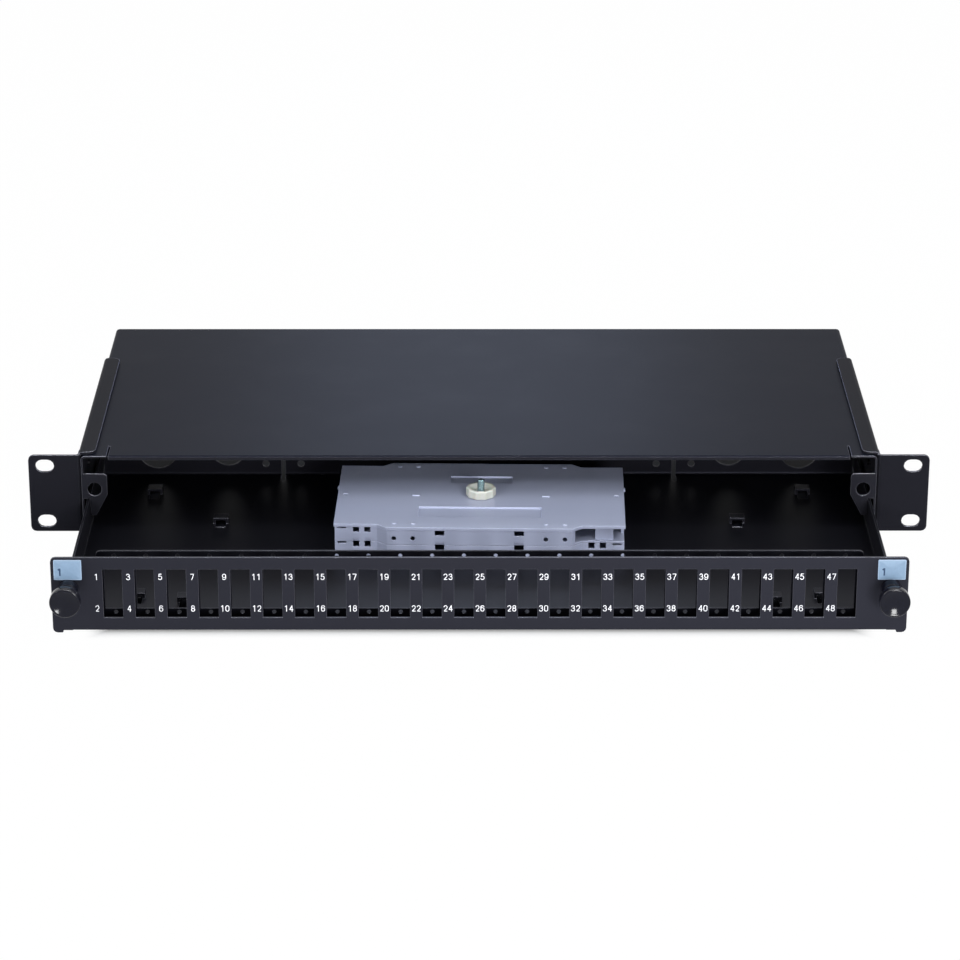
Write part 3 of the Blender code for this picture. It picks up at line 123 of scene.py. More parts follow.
def filleted(corners, radii, loop=False, steps=6):
    """A path through corners with an arc of the given radius in place of each: the arc touches both sides, and its
    centre lies on the bisector at radius / sin(half the corner's angle)."""
    path = np.asarray(corners, dtype=float)
    count = len(path)
    pieces = []
    for i, radius in enumerate(radii):
        here = path[i]
        if radius <= 0 or (not loop and i in (0, count - 1)):
            pieces.append(here[None, :])
            continue
        before = path[i - 1] - here
        after = path[(i + 1) % count] - here
        before /= np.linalg.norm(before)
        after /= np.linalg.norm(after)
        half = math.acos(float(np.clip(before @ after, -1.0, 1.0))) / 2
        middle = (before + after) / np.linalg.norm(before + after)
        centre = here + middle * radius / math.sin(half)
        start = here + before * radius / math.tan(half) - centre
        end = here + after * radius / math.tan(half) - centre
        sweep = math.atan2(start[0] * end[1] - start[1] * end[0], float(start @ end))
        angle = np.linspace(0.0, sweep, steps + 1)
        turned_x = start[0] * np.cos(angle) - start[1] * np.sin(angle)
        turned_y = start[0] * np.sin(angle) + start[1] * np.cos(angle)
        pieces.append(centre + np.stack((turned_x, turned_y), axis=-1))
    return np.concatenate(pieces)


def around(centre, axis, radius, angle, height):
    """Cylindrical to world coordinates: centre + radius (cos angle U + sin angle V) + height W, with W along the
    named axis and U, V the two across it."""
    w = np.array({"X": (1, 0, 0), "-X": (-1, 0, 0), "-Y": (0, -1, 0), "Y": (0, 1, 0), "Z": (0, 0, 1)}[axis], float)
    u = np.array((0, 0, 1), float) if axis in ("X", "-X") else np.array((1, 0, 0), float)
    v = np.cross(w, u)
    radius, angle, height = np.broadcast_arrays(radius, angle, height)
    across = np.cos(angle)[..., None] * u + np.sin(angle)[..., None] * v
    return np.asarray(centre, float) + radius[..., None] * across + height[..., None] * w


def turned_mesh(name, profile, centre, axis, steps=64, ring=False):
    """A profile of (radius, height) pairs carried once round an axis. A ring's profile closes on itself."""
    angle = np.linspace(0.0, 2 * math.pi, steps, endpoint=False)
    points = around(centre, axis, profile[:, :1], angle[None, :], profile[:, 1:])
    quads = grid_quads(len(profile), steps, wrap_rows=ring)
    return closed(mesh_from(name, points.reshape(-1, 3), quads))


def sector_mesh(name, profile, centre, axis, start, end, steps=24):
    """A closed profile of (radius, height) pairs carried from one angle to another, with both ends filled."""
    angle = np.linspace(start, end, steps)
    points = around(centre, axis, profile[None, :, 0], angle[:, None], profile[None, :, 1])
    quads = grid_quads(steps, len(profile))
    return closed(mesh_from(name, points.reshape(-1, 3), quads))


def merged_mesh(name, meshes):
    """Several closed meshes in one, each still closed by itself."""
    bm = bmesh.new()
    for mesh in meshes:
        bm.from_mesh(mesh)
    result = bpy.data.meshes.new(name)
    bm.to_mesh(result)
    bm.free()
    for mesh in meshes:
        bpy.data.meshes.remove(mesh)
    return result


def place_piece(name, mesh, material, body, replaced=()):
    """Shows a finished mesh as a piece of the object: its material, the body it rides on and what it stands for."""
    mesh.name = name
    mesh.materials.clear()
    mesh.materials.append(material)
    piece = bpy.data.objects.new(name, mesh)
    bpy.context.scene.collection.objects.link(piece)
    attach(piece, body)
    if replaced:
        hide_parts(*replaced)
    return piece


# Nodes


def add_node(tree, kind, values=None, **settings):
    """A node with its settings, and its inputs set to numbers or linked from sockets."""
    node = tree.nodes.new(kind)
    for key, value in settings.items():
        setattr(node, key, value)
    for key, value in (values or {}).items():
        if isinstance(value, bpy.types.NodeSocket):
            tree.links.new(value, node.inputs[key])
        else:
            node.inputs[key].default_value = value
    return node


def maths(tree, operation, first, second=0.0, third=0.0, clamp=False):
    """The result of one arithmetic step."""
    node = add_node(tree, "ShaderNodeMath", {0: first, 1: second, 2: third}, operation=operation, use_clamp=clamp)
    return node.outputs[0]


def ramp(tree, value, low, high, start=0.0, end=1.0):
    """A value carried smoothly from one range to another."""
    values = {"Value": value, "From Min": low, "From Max": high, "To Min": start, "To Max": end}
    return add_node(tree, "ShaderNodeMapRange", values, interpolation_type="SMOOTHSTEP").outputs["Result"]


def mixed(tree, share, first, second):
    """One colour mixed into another."""
    node = add_node(tree, "ShaderNodeMix", data_type="RGBA")
    for index, value in ((0, share), (6, first), (7, second)):
        if isinstance(value, bpy.types.NodeSocket):
            tree.links.new(value, node.inputs[index])
        else:
            node.inputs[index].default_value = (*value, 1.0) if index else value
    return node.outputs[2]


def noise(tree, where, scale, detail=2.0, roughness=0.5):
    """Soft noise from 0 to 1, at so many cells to the metre."""
    values = {"Vector": where, "Scale": scale, "Detail": detail, "Roughness": roughness}
    return add_node(tree, "ShaderNodeTexNoise", values).outputs["Fac"]


def new_group(name, inputs, outputs):
    """An empty node group with named sockets, and its input and output nodes."""
    group = bpy.data.node_groups.new(name, "ShaderNodeTree")
    for label, kind, default in inputs:
        socket = group.interface.new_socket(label, in_out="INPUT", socket_type=kind)
        if default is not None:
            socket.default_value = default
    for label, kind in outputs:
        group.interface.new_socket(label, in_out="OUTPUT", socket_type=kind)
    return group, group.nodes.new("NodeGroupInput"), group.nodes.new("NodeGroupOutput")


def powder_grain_group():
    """Orange peel and fine grit of a baked powder coat: a height for bump, and a slow change of tone."""
    inputs = [("Vector", "NodeSocketVector", None), ("Peel Scale", "NodeSocketFloat", 900.0)]
    inputs.append(("Grit Scale", "NodeSocketFloat", 4200.0))
    group, given, result = new_group("powder_grain", inputs, [("Height", "NodeSocketFloat"), ("Tone", "NodeSocketFloat")])
    where = given.outputs["Vector"]
    peel = noise(group, where, given.outputs["Peel Scale"], 1.0)
    grit = noise(group, where, given.outputs["Grit Scale"], 3.0, 0.7)
    height = maths(group, "MULTIPLY_ADD", grit, 0.45, maths(group, "MULTIPLY", peel, 0.55))
    cloud = noise(group, where, 9.0, 2.0, 0.5)
    tone = maths(group, "MULTIPLY_ADD", grit, 0.8, maths(group, "MULTIPLY", cloud, 0.2))
    group.links.new(height, result.inputs["Height"])
    group.links.new(tone, result.inputs["Tone"])
    return group


def mould_grain_group():
    """The fine spark texture of a moulded part, with faint flow marks along one axis."""
    inputs = [("Vector", "NodeSocketVector", None), ("Grain Scale", "NodeSocketFloat", 2600.0)]
    outputs = [("Height", "NodeSocketFloat"), ("Tone", "NodeSocketFloat")]
    group, given, result = new_group("mould_grain", inputs, outputs)
    where = given.outputs["Vector"]
    spark = noise(group, where, given.outputs["Grain Scale"], 2.0, 0.6)
    stretched = add_node(group, "ShaderNodeMapping", {"Vector": where, "Scale": (9.0, 38.0, 30.0)})
    flow = noise(group, stretched.outputs["Vector"], 1.0, 3.0, 0.55)
    group.links.new(spark, result.inputs["Height"])
    tone = maths(group, "MULTIPLY_ADD", spark, 0.3, maths(group, "MULTIPLY", flow, 0.7))
    group.links.new(tone, result.inputs["Tone"])
    return group


def soft_edge_group():
    """A normal that turns softly round each edge, and a mask of where it turns."""
    inputs = [("Radius", "NodeSocketFloat", 0.4 * MM)]
    outputs = [("Normal", "NodeSocketVector"), ("Edge", "NodeSocketFloat")]
    group, given, result = new_group("soft_edge", inputs, outputs)
    bevel = add_node(group, "ShaderNodeBevel", {"Radius": given.outputs["Radius"]}, samples=6)
    flat = group.nodes.new("ShaderNodeNewGeometry")
    facing = add_node(group, "ShaderNodeVectorMath", operation="DOT_PRODUCT")
    group.links.new(bevel.outputs["Normal"], facing.inputs[0])
    group.links.new(flat.outputs["True Normal"], facing.inputs[1])
    edge = ramp(group, facing.outputs["Value"], 0.995, 0.80)
    group.links.new(bevel.outputs["Normal"], result.inputs["Normal"])
    group.links.new(edge, result.inputs["Edge"])
    return group


def handling_group():
    """Thin dust that settles on what faces up, rubbed patches, and the faces that stand upright, which take painted
    light: all as masks.
    """
    inputs = [("Vector", "NodeSocketVector", None), ("Patch Scale", "NodeSocketFloat", 26.0)]
    outputs = [("Dust", "NodeSocketFloat"), ("Rub", "NodeSocketFloat"), ("Upright", "NodeSocketFloat")]
    group, given, result = new_group("wear_and_painted_light", inputs, outputs)
    where = given.outputs["Vector"]
    geometry = group.nodes.new("ShaderNodeNewGeometry")
    parts = add_node(group, "ShaderNodeSeparateXYZ", {"Vector": geometry.outputs["True Normal"]})
    speck = ramp(group, noise(group, where, 1500.0, 2.0, 0.6), 0.60, 0.74)
    patch = ramp(group, noise(group, where, given.outputs["Patch Scale"], 4.0, 0.6), 0.42, 0.72)
    upward = ramp(group, parts.outputs["Z"], 0.55, 0.95)
    settled = maths(group, "MULTIPLY", upward, maths(group, "MULTIPLY_ADD", speck, 0.5, maths(group, "MULTIPLY", patch, 0.5)))
    group.links.new(settled, result.inputs["Dust"])
    group.links.new(patch, result.inputs["Rub"])
    # mask of the faces that stand upright, where painted light goes
    upright = ramp(group, maths(group, "ABSOLUTE", parts.outputs["Z"]), 0.8, 0.4)
    group.links.new(upright, result.inputs["Upright"])
    return group


GROUP_MAKERS = {
    "powder_grain": powder_grain_group,
    "mould_grain": mould_grain_group,
    "soft_edge": soft_edge_group,
    "wear_and_painted_light": handling_group,
}


def effect(tree, name, values):
    """A node of one of the shared effects, built the first time that it is needed."""
    node = tree.nodes.new("ShaderNodeGroup")
    node.node_tree = bpy.data.node_groups.get(name) or GROUP_MAKERS[name]()
    for key, value in values.items():
        if isinstance(value, bpy.types.NodeSocket):
            tree.links.new(value, node.inputs[key])
        else:
            node.inputs[key].default_value = value
    return node.outputs


def new_finish(name, **constants):
    """A material with only its Principled shader and output, the shader's plain sockets set, and its place."""
    material = bpy.data.materials.new(name)
    material.use_nodes = True
    tree = material.node_tree
    shader = tree.nodes["Principled BSDF"]
    for key, value in constants.items():
        shader.inputs[key.replace("_", " ")].default_value = value
    where = tree.nodes.new("ShaderNodeTexCoord").outputs["Object"]
    return material, tree, shader, where


def feed(tree, shader, colour, roughness, height, distance, normal):
    """Joins colour, roughness and a bump over a soft normal to the shader."""
    tree.links.new(colour, shader.inputs["Base Color"])
    tree.links.new(roughness, shader.inputs["Roughness"])
    bump = add_node(tree, "ShaderNodeBump", {"Height": height, "Normal": normal, "Distance": distance, "Strength": 1.0})
    tree.links.new(bump.outputs["Normal"], shader.inputs["Normal"])


def powder_coat(name, settings, colour, upright_colour, ior, shine=1.0):
    """Black powder coat on folded steel, with painted light that makes upright faces paler than the faces that look up.
    Each edge gets a painted highlight: a paler colour, with a share of metal that catches glints."""
    material, tree, shader, where = new_finish(name, Specular_Tint=(*settings.sheen_tint, 1.0), IOR=ior)
    grain = effect(tree, "powder_grain", {"Vector": where, "Peel Scale": 1.0 / settings.peel_size})
    edges = effect(tree, "soft_edge", {"Radius": settings.edge_radius})
    wear_and_painted_light = effect(tree, "wear_and_painted_light", {"Vector": where})
    # painted light: upright faces take a paler colour than the faces that look up
    base = mixed(tree, wear_and_painted_light["Upright"], colour, upright_colour)
    darker = maths(tree, "MULTIPLY", ramp(tree, grain["Tone"], 0.35, 0.75), 0.18)
    base = mixed(tree, darker, base, (0.0, 0.0, 0.0))
    # painted highlight: each edge takes a paler colour
    base = mixed(tree, maths(tree, "MULTIPLY", edges["Edge"], 0.7 * shine), base, settings.edge_colour)
    base = mixed(tree, maths(tree, "MULTIPLY", wear_and_painted_light["Dust"], settings.dust), base, (0.30, 0.31, 0.35))
    rough = maths(tree, "MULTIPLY_ADD", grain["Tone"], 0.06, settings.coat_roughness - 0.03)
    rough = maths(tree, "MULTIPLY_ADD", wear_and_painted_light["Rub"], -0.015, rough)
    rough = maths(tree, "MULTIPLY_ADD", edges["Edge"], -0.12, rough)
    # painted highlight: a share of metal over each edge so that it catches glints
    bare = maths(tree, "MULTIPLY", edges["Edge"], settings.edge_shine * shine)
    tree.links.new(bare, shader.inputs["Metallic"])
    feed(tree, shader, base, rough, grain["Height"], settings.peel_depth, edges["Normal"])
    return material


def moulded(name, colour, roughness, edge_radius, grain_depth, streak, painted_light_upright_lift=0.0, **constants):
    """A moulded plastic: fine spark grain, faint flow marks, a painted highlight that makes the softened edges paler,
    and painted light that may make upright faces a little paler too."""
    material, tree, shader, where = new_finish(name, **constants)
    grain = effect(tree, "mould_grain", {"Vector": where})
    edges = effect(tree, "soft_edge", {"Radius": edge_radius})
    wear_and_painted_light = effect(tree, "wear_and_painted_light", {"Vector": where, "Patch Scale": 40.0})
    base = mixed(tree, ramp(tree, grain["Tone"], 0.3, 0.7), colour, [value * (1.0 - streak) for value in colour])
    # painted light: a paler colour for upright faces, and a painted highlight over each edge
    painted_light_colour = [min(1.0, value * 1.9 + 0.02) for value in colour]
    base = mixed(tree, maths(tree, "MULTIPLY", wear_and_painted_light["Upright"], painted_light_upright_lift), base, painted_light_colour)
    base = mixed(tree, maths(tree, "MULTIPLY", edges["Edge"], 0.85), base, painted_light_colour)
    base = mixed(tree, maths(tree, "MULTIPLY", wear_and_painted_light["Dust"], 0.05), base, (0.55, 0.55, 0.56))
    rough = maths(tree, "MULTIPLY_ADD", grain["Tone"], 0.08, roughness - 0.04)
    rough = maths(tree, "MULTIPLY_ADD", wear_and_painted_light["Rub"], 0.03, rough)
    feed(tree, shader, base, rough, grain["Height"], grain_depth, edges["Normal"])
    return material


def turned_metal(name, colour, roughness, pitch, axis):
    """Plated metal with the fine rings that turning leaves, and a few dull spots."""
    material, tree, shader, where = new_finish(name, Metallic=1.0)
    parts = add_node(tree, "ShaderNodeSeparateXYZ", {"Vector": where})
    rings = maths(tree, "SINE", maths(tree, "MULTIPLY", parts.outputs[axis], 2 * math.pi / pitch))
    spots = noise(tree, where, 900.0, 4.0, 0.6)
    height = maths(tree, "MULTIPLY_ADD", rings, 0.3, spots)
    edges = effect(tree, "soft_edge", {"Radius": 0.15 * MM})
    base = mixed(tree, ramp(tree, spots, 0.4, 0.7), colour, [value * 0.7 for value in colour])
    rough = maths(tree, "MULTIPLY_ADD", spots, 0.15, roughness - 0.07)
    feed(tree, shader, base, rough, height, 0.01 * MM, edges["Normal"])
    return material


def dress(node_names, material):
    """Gives CAD nodes their finished material."""
    for name in node_names:
        slots = frame["nodes"][name].data.materials
        slots.clear()
        slots.append(material)


# Settings


def colour_property(name, description, default):
    """A colour setting, in linear values."""
    return FloatVectorProperty(name=name, description=description, default=default, subtype="COLOR", size=3, min=0.0, max=1.0)


def length_property(name, description, default):
    """A length setting, given in millimetres and kept in metres."""
    return FloatProperty(name=name, description=description, default=default * MM, unit="LENGTH", precision=5)


class FIBERBOX_CoatSettings(bpy.types.PropertyGroup):
    """Powder coat of the housing, the brackets, the drawer and the panel."""

    housing_colour: colour_property("Housing colour", "Colour of the housing's coat", (0.0042, 0.0052, 0.0108))
    # painted light: upright faces of the housing are paler than its own colour, standing in for the light that falls on
    # them
    upright_colour: colour_property("Upright colour", "Colour of the housing's upright faces", (0.0135, 0.0135, 0.0175))
    drawer_colour: colour_property("Drawer colour", "Colour of the drawer's coat", (0.0018, 0.0018, 0.0028))
    # painted light: the drawer's walls are paler than its floor, standing in for the light that falls on them
    wall_colour: colour_property("Wall colour", "Colour of the drawer's walls", (0.0065, 0.0065, 0.0090))
    face_colour: colour_property("Face colour", "Colour of the front panel's coat", (0.0042, 0.0043, 0.0056))
    bracket_colour: colour_property("Bracket colour", "Colour of the rack brackets' coat", (0.0110, 0.0110, 0.0145))
    # painted highlight: the pale colour over each edge
    edge_colour: colour_property("Edge colour", "Colour of the coat where edges are rubbed", (0.26, 0.265, 0.31))
    sheen_tint: colour_property("Sheen tint", "Tint of what the coat reflects", (0.70, 0.72, 0.98))
    # painted highlight: the share of metal over each edge that catches glints
    edge_shine: FloatProperty(name="Edge shine", description="Share of bare metal over an edge", default=0.8, min=0.0, max=1.0)
    body_ior: FloatProperty(name="Body IOR", description="Index of refraction of the housing's coat", default=1.105, min=1.0, max=2.0)
    drawer_ior: FloatProperty(name="Drawer IOR", description="Index of refraction of the drawer's coat", default=1.2, min=1.0, max=2.0)
    bracket_ior: FloatProperty(name="Bracket IOR", description="Index of refraction of the brackets' coat", default=1.085, min=1.0, max=2.0)
    face_ior: FloatProperty(name="Face IOR", description="Index of refraction of the panel's coat", default=1.40, min=1.0, max=2.0)
    coat_roughness: FloatProperty(name="Coat roughness", description="Roughness of the coat", default=0.42, min=0.0, max=1.0)
    peel_size: length_property("Peel size", "Width of one cell of the coat's orange peel", 1.1)
    peel_depth: length_property("Peel depth", "Depth of the coat's relief", 0.010)
    edge_radius: length_property("Edge radius", "Radius at which the coat rounds a sheet's edge", 0.5)
    dust: FloatProperty(name="Dust", description="Share of dust on what faces up", default=0.002, min=0.0, max=1.0)


class FIBERBOX_MouldSettings(bpy.types.PropertyGroup):
    """Plastic of the splice trays, their lid and their holders."""

    tray_colour: colour_property("Tray colour", "Colour of the trays and the lid", (0.345, 0.373, 0.500))
    holder_colour: colour_property("Holder colour", "Colour of the splice holders", (0.06, 0.06, 0.07))
    tray_roughness: FloatProperty(name="Tray roughness", description="Roughness of the trays", default=0.34, min=0.0, max=1.0)
    tray_edge: length_property("Tray edge", "Radius of the trays' moulded edges", 0.45)


class FIBERBOX_LatchSettings(bpy.types.PropertyGroup):
    """Snap latches at both ends of the panel."""

    colour: colour_property("Latch colour", "Colour of the latches' nylon", (0.0030, 0.0034, 0.0080))
    roughness: FloatProperty(name="Knob roughness", description="Roughness of the knobs", default=0.12, min=0.0, max=1.0)
    collar_roughness: FloatProperty(name="Collar roughness", description="Roughness of the collars", default=0.30, min=0.0, max=1.0)
    ior: FloatProperty(name="Nylon IOR", description="Index of refraction of the nylon", default=1.30, min=1.0, max=2.0)
    collar_ior: FloatProperty(name="Collar IOR", description="Index of refraction of the collars", default=1.17, min=1.0, max=2.0)
    knob_thickness: length_property("Knob thickness", "Thickness of the knob's head", 5.2)
    knob_rim: length_property("Knob rim", "Width of the flat rim round the dish", 1.0)
    knob_dish: length_property("Knob dish", "Depth of the dish in the knob's face", 1.5)
    knob_round: length_property("Knob rounding", "Radius of the knob's outer edges", 0.95)
    pin_radius: length_property("Pin radius", "Radius of the pin behind the knob", 2.2)
    bore_radius: length_property("Bore radius", "Radius of the bushing's bore", 2.5)
    barrel_radius: length_property("Barrel radius", "Radius of the bushing's barrel", 3.4)
    barrel_split: length_property("Barrel split", "Width of the slot between the barrel's two fingers", 0.9)
    neck_step: length_property("Neck step", "Step from the collar to its neck at the panel", 0.6)
    neck_length: length_property("Neck length", "Length of the collar's neck", 1.0)
    collar_round: length_property("Collar rounding", "Radius of the collar's front edge", 0.7)


class FIBERBOX_FastenerSettings(bpy.types.PropertyGroup):
    """Housing screws, tray stud and tray nut."""

    screw_colour: colour_property("Screw colour", "Colour of the blackened screws", (0.030, 0.030, 0.034))
    shank_radius: length_property("Shank radius", "Radius of a housing screw's shank", 1.5)
    head_depth: length_property("Head depth", "Depth of a countersunk head", 0.9)
    drive_width: length_property("Drive width", "Width of one arm of the cross recess", 0.55)
    drive_reach: length_property("Drive reach", "Half length of one arm of the cross recess", 1.7)
    drive_depth: length_property("Drive depth", "Depth of the cross recess", 0.55)
    stud_colour: colour_property("Stud colour", "Colour of the zinc plated stud", (0.20, 0.30, 0.33))
    stud_radius: length_property("Stud radius", "Outer radius of the stud's thread", 2.0)
    stud_flange: length_property("Stud flange", "Height of the flange at the stud's foot", 0.9)
    thread_pitch: length_property("Thread pitch", "Rise of the thread in one turn", 0.7)
    thread_depth: length_property("Thread depth", "Depth of the thread", 0.22)
    nut_colour: colour_property("Nut colour", "Colour of the nylon nut", (0.52, 0.51, 0.455))
    nut_lobes: IntProperty(name="Nut lobes", description="Number of lobes round the nut", default=10, min=3)
    nut_lobe_depth: length_property("Lobe depth", "Depth of the hollows between the lobes", 0.45)
    nut_dish_radius: length_property("Dish radius", "Radius of the nut's dish at the top", 6.1)
    nut_dish_depth: length_property("Dish depth", "Depth of the nut's dish", 2.6)
    nut_round: length_property("Nut rounding", "Radius of the nut's edges", 0.7)


class FIBERBOX_MarkSettings(bpy.types.PropertyGroup):
    """Printed port numbers and the two label plates."""

    print_colour: colour_property("Print colour", "Colour of the printed numbers", (0.80, 0.80, 0.83))
    digit_height: length_property("Digit height", "Height of a port number", 3.4)
    digit_width: FloatProperty(name="Digit width", description="Width of a digit against its height", default=0.60)
    digit_advance: FloatProperty(name="Digit advance", description="Step to the next digit against the height", default=0.74)
    digit_stroke: FloatProperty(name="Digit stroke", description="Width of a stroke against the height", default=0.10)
    label_stroke: FloatProperty(name="Label stroke", description="Width of the label's stroke against its height", default=0.20)
    print_thickness: length_property("Print thickness", "Thickness of the printed ink", 0.04)
    upper_base: length_property("Upper base line", "Height of the base line of the odd numbers", 28.9)
    lower_base: length_property("Lower base line", "Height of the base line of the even numbers", 11.6)
    number_offset: length_property("Number offset", "From a port's middle to the middle of its numbers", 8.0)
    label_colour: colour_property("Label colour", "Colour of the label's field", (0.160, 0.240, 0.342))
    border_colour: colour_property("Label border", "Colour of the label's border", (0.235, 0.315, 0.430))
    ink_colour: colour_property("Label ink", "Colour of the character on the label", (0.010, 0.035, 0.085))
    label_corner: length_property("Label corner", "Radius of the label's corners", 0.5)
    label_border: length_property("Label border width", "Width of the label's border", 0.5)
    label_digit: length_property("Label digit", "Height of the character on the label", 4.0)


class FIBERBOX_StageSettings(bpy.types.PropertyGroup):
    """Floor, lamps and camera."""

    floor_size: FloatProperty(name="Floor size", description="Side of the floor", default=12.0, unit="LENGTH")
    key_power: FloatProperty(name="Key lamp", description="Power of the left soft box in watts", default=11.0, min=0.0)
    fill_power: FloatProperty(name="Fill lamp", description="Power of the right soft box in watts", default=19.0, min=0.0)
    front_power: FloatProperty(name="Front lamp", description="Power of the upper front soft box in watts", default=6.0, min=0.0)
    rear_power: FloatProperty(name="Rear lamp", description="Power of the soft box behind in watts", default=1.0, min=0.0)
    top_power: FloatProperty(name="Top lamps", description="Power of each soft box above in watts", default=4.4, min=0.0)
    strip_power: FloatProperty(name="Strips", description="Power of each strip that only shows in gloss", default=40.0, min=0.0)
    sky_strength: FloatProperty(name="Sky", description="Strength of the even light from all round", default=0.33, min=0.0)
    lens: FloatProperty(name="Lens", description="Focal length in millimetres", default=131.97, min=1.0)
    tilt: FloatProperty(name="Tilt", description="Downward tilt", default=math.radians(21.780), subtype="ANGLE")
    pan: FloatProperty(name="Pan", description="Turn to the right", default=math.radians(0.216), subtype="ANGLE")
    roll: FloatProperty(name="Roll", description="Turn about the view's axis", default=math.radians(0.064), subtype="ANGLE")
    camera_place: FloatVectorProperty(
        name="Camera place", description="Where the camera stands", default=(-0.00612, -1.77902, 0.73017), subtype="XYZ", size=3
    )


SETTINGS = {
    "fiberbox_coat": FIBERBOX_CoatSettings,
    "fiberbox_mould": FIBERBOX_MouldSettings,
    "fiberbox_latch": FIBERBOX_LatchSettings,
    "fiberbox_fastener": FIBERBOX_FastenerSettings,
    "fiberbox_mark": FIBERBOX_MarkSettings,
    "fiberbox_stage": FIBERBOX_StageSettings,
}


# Operators


class FIBERBOX_OT_coat_housing(bpy.types.Operator):
    """Coats the housing shell, the base plate and the rack brackets"""

    bl_idname = "fiberbox.coat_housing"
    bl_label = "Coat housing"

    def execute(self, context):
        coat = context.scene.fiberbox_coat
        # the housing's upright faces take the painted lighter colour
        body = powder_coat("housing_coat", coat, coat.housing_colour, coat.upright_colour, coat.body_ior)
        dress(["housing_shell", "base_plate"], body)
        face = powder_coat("bracket_coat", coat, coat.bracket_colour, coat.bracket_colour, coat.bracket_ior)
        dress([f"rack_bracket_{label}" for label, _ in SIDES], face)
        return {"FINISHED"}


class FIBERBOX_OT_coat_drawer(bpy.types.Operator):
    """Coats the drawer tray, the adapter plate and the front panel"""

    bl_idname = "fiberbox.coat_drawer"
    bl_label = "Coat drawer"

    def execute(self, context):
        coat = context.scene.fiberbox_coat
        # painted light: the drawer's walls take a paler colour than its floor; the last number of each coat scales its
        # painted edge highlight
        tray = powder_coat("drawer_coat", coat, coat.drawer_colour, coat.wall_colour, coat.drawer_ior, 0.5)
        dress(["drawer_tray"], tray)
        plate = powder_coat("plate_coat", coat, coat.drawer_colour, coat.drawer_colour, coat.drawer_ior, 0.3)
        dress(["adapter_plate"], plate)
        face = powder_coat("panel_coat", coat, coat.face_colour, coat.face_colour, coat.face_ior, 0.45)
        dress(["front_panel"], face)
        return {"FINISHED"}


class FIBERBOX_OT_mould_trays(bpy.types.Operator):
    """Gives the splice trays, their lid and their holders a moulded finish"""

    bl_idname = "fiberbox.mould_trays"
    bl_label = "Mould splice trays"

    def execute(self, context):
        mould = context.scene.fiberbox_mould
        # the last number is the painted light on the trays' upright faces
        plastic = moulded("tray_plastic", mould.tray_colour, mould.tray_roughness, mould.tray_edge, 0.006 * MM, 0.06, 0.16)
        dress(["splice_tray_lower", "splice_tray_upper", "splice_tray_lid"], plastic)
        rubber = moulded("holder_rubber", mould.holder_colour, 0.6, mould.tray_edge, 0.012 * MM, 0.15)
        dress([f"splice_holder_{level}_{end}" for level in ("lower", "upper") for end in ("front", "back")], rubber)
        return {"FINISHED"}


def middle_of(node):
    """The middle of a CAD node's box."""
    low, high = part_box(node)
    return (low + high) / 2


def knob_profile(latch, radius, length):
    """The knob from the middle of its dish to the end of its pin. The dish is a parabola: its depth falls with the
    square of the radius. The rim, the head and the pin follow with filleted corners."""
    dish_radius = radius - latch.knob_rim
    across = np.linspace(0.0, 1.0, 14)
    dish = np.stack((across * dish_radius, -latch.knob_dish * (1 - across**2)), axis=-1)
    back = -latch.knob_thickness
    corners = [(dish_radius, 0), (radius, 0), (radius, back), (latch.pin_radius, back), (latch.pin_radius, -length), (0, -length)]
    rounding = latch.knob_round
    rest = filleted(corners, [0, rounding, rounding, 0.3 * MM, 0.6 * MM, 0])
    return np.concatenate((dish[:-1], rest))


def bushing_mesh(latch, centre, collar_radius, front, seat, rear, throat):
    """The collar and the throat as one closed ring, and two fingers behind the panel as sectors of a ring."""
    bore, barrel = latch.bore_radius, latch.barrel_radius
    neck = collar_radius - latch.neck_step
    shoulder = seat + latch.neck_length
    corners = [(bore, front), (collar_radius, front), (collar_radius, shoulder), (neck, shoulder), (neck, seat)]
    corners += [(barrel, seat), (barrel, throat), (bore, throat)]
    ring = filleted(corners, [0.2 * MM, latch.collar_round, 0.25 * MM, 0, 0, 0, 0, 0], loop=True)
    shells = [turned_mesh("collar", ring, centre, "-Y", ring=True)]
    taper = 0.5 * MM
    corners = [(bore, throat + 0.05 * MM), (barrel, throat + 0.05 * MM), (barrel, rear + taper), (barrel - taper, rear), (bore, rear)]
    finger = filleted(corners, [0, 0, 0.2 * MM, 0.1 * MM, 0], loop=True)
    gap = math.asin(latch.barrel_split / 2 / bore)
    for middle in (0.0, math.pi):
        start, end = middle - math.pi / 2 + gap, middle + math.pi / 2 - gap
        shells.append(sector_mesh("finger", finger, centre, "-Y", start, end))
    return merged_mesh("bushing", shells)


class FIBERBOX_OT_make_latches(bpy.types.Operator):
    """Makes the knobs and bushings of the two snap latches"""

    bl_idname = "fiberbox.make_latches"
    bl_label = "Make latches"

    def execute(self, context):
        latch = context.scene.fiberbox_latch
        gloss = moulded("knob_nylon", latch.colour, latch.roughness, 0.2 * MM, 0.001 * MM, 0.2, IOR=latch.ior)
        satin = moulded("collar_nylon", latch.colour, latch.collar_roughness, 0.2 * MM, 0.002 * MM, 0.2, IOR=latch.collar_ior)
        panel_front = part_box("front_panel")[0].y
        panel_sheet = 1.2 * MM
        for label, _ in SIDES:
            low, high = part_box(f"latch_plunger_{label}")
            centre = ((low.x + high.x) / 2, 0.0, (low.z + high.z) / 2)
            profile = knob_profile(latch, (high.x - low.x) / 2, high.y - low.y)
            profile[:, 1] -= low.y
            knob = turned_mesh("knob", profile, centre, "-Y", steps=96)
            place_piece(f"latch_knob_{label}", knob, gloss, f"latch_{label}", [f"latch_plunger_{label}"])
            low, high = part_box(f"latch_bushing_{label}")
            throat = -(panel_front + panel_sheet + 0.6 * MM)
            seat = -panel_front + 0.1 * MM
            mesh = bushing_mesh(latch, centre, (high.x - low.x) / 2, -low.y, seat, -high.y, throat)
            place_piece(f"latch_collar_{label}", mesh, satin, "drawer", [f"latch_bushing_{label}"])
        return {"FINISHED"}


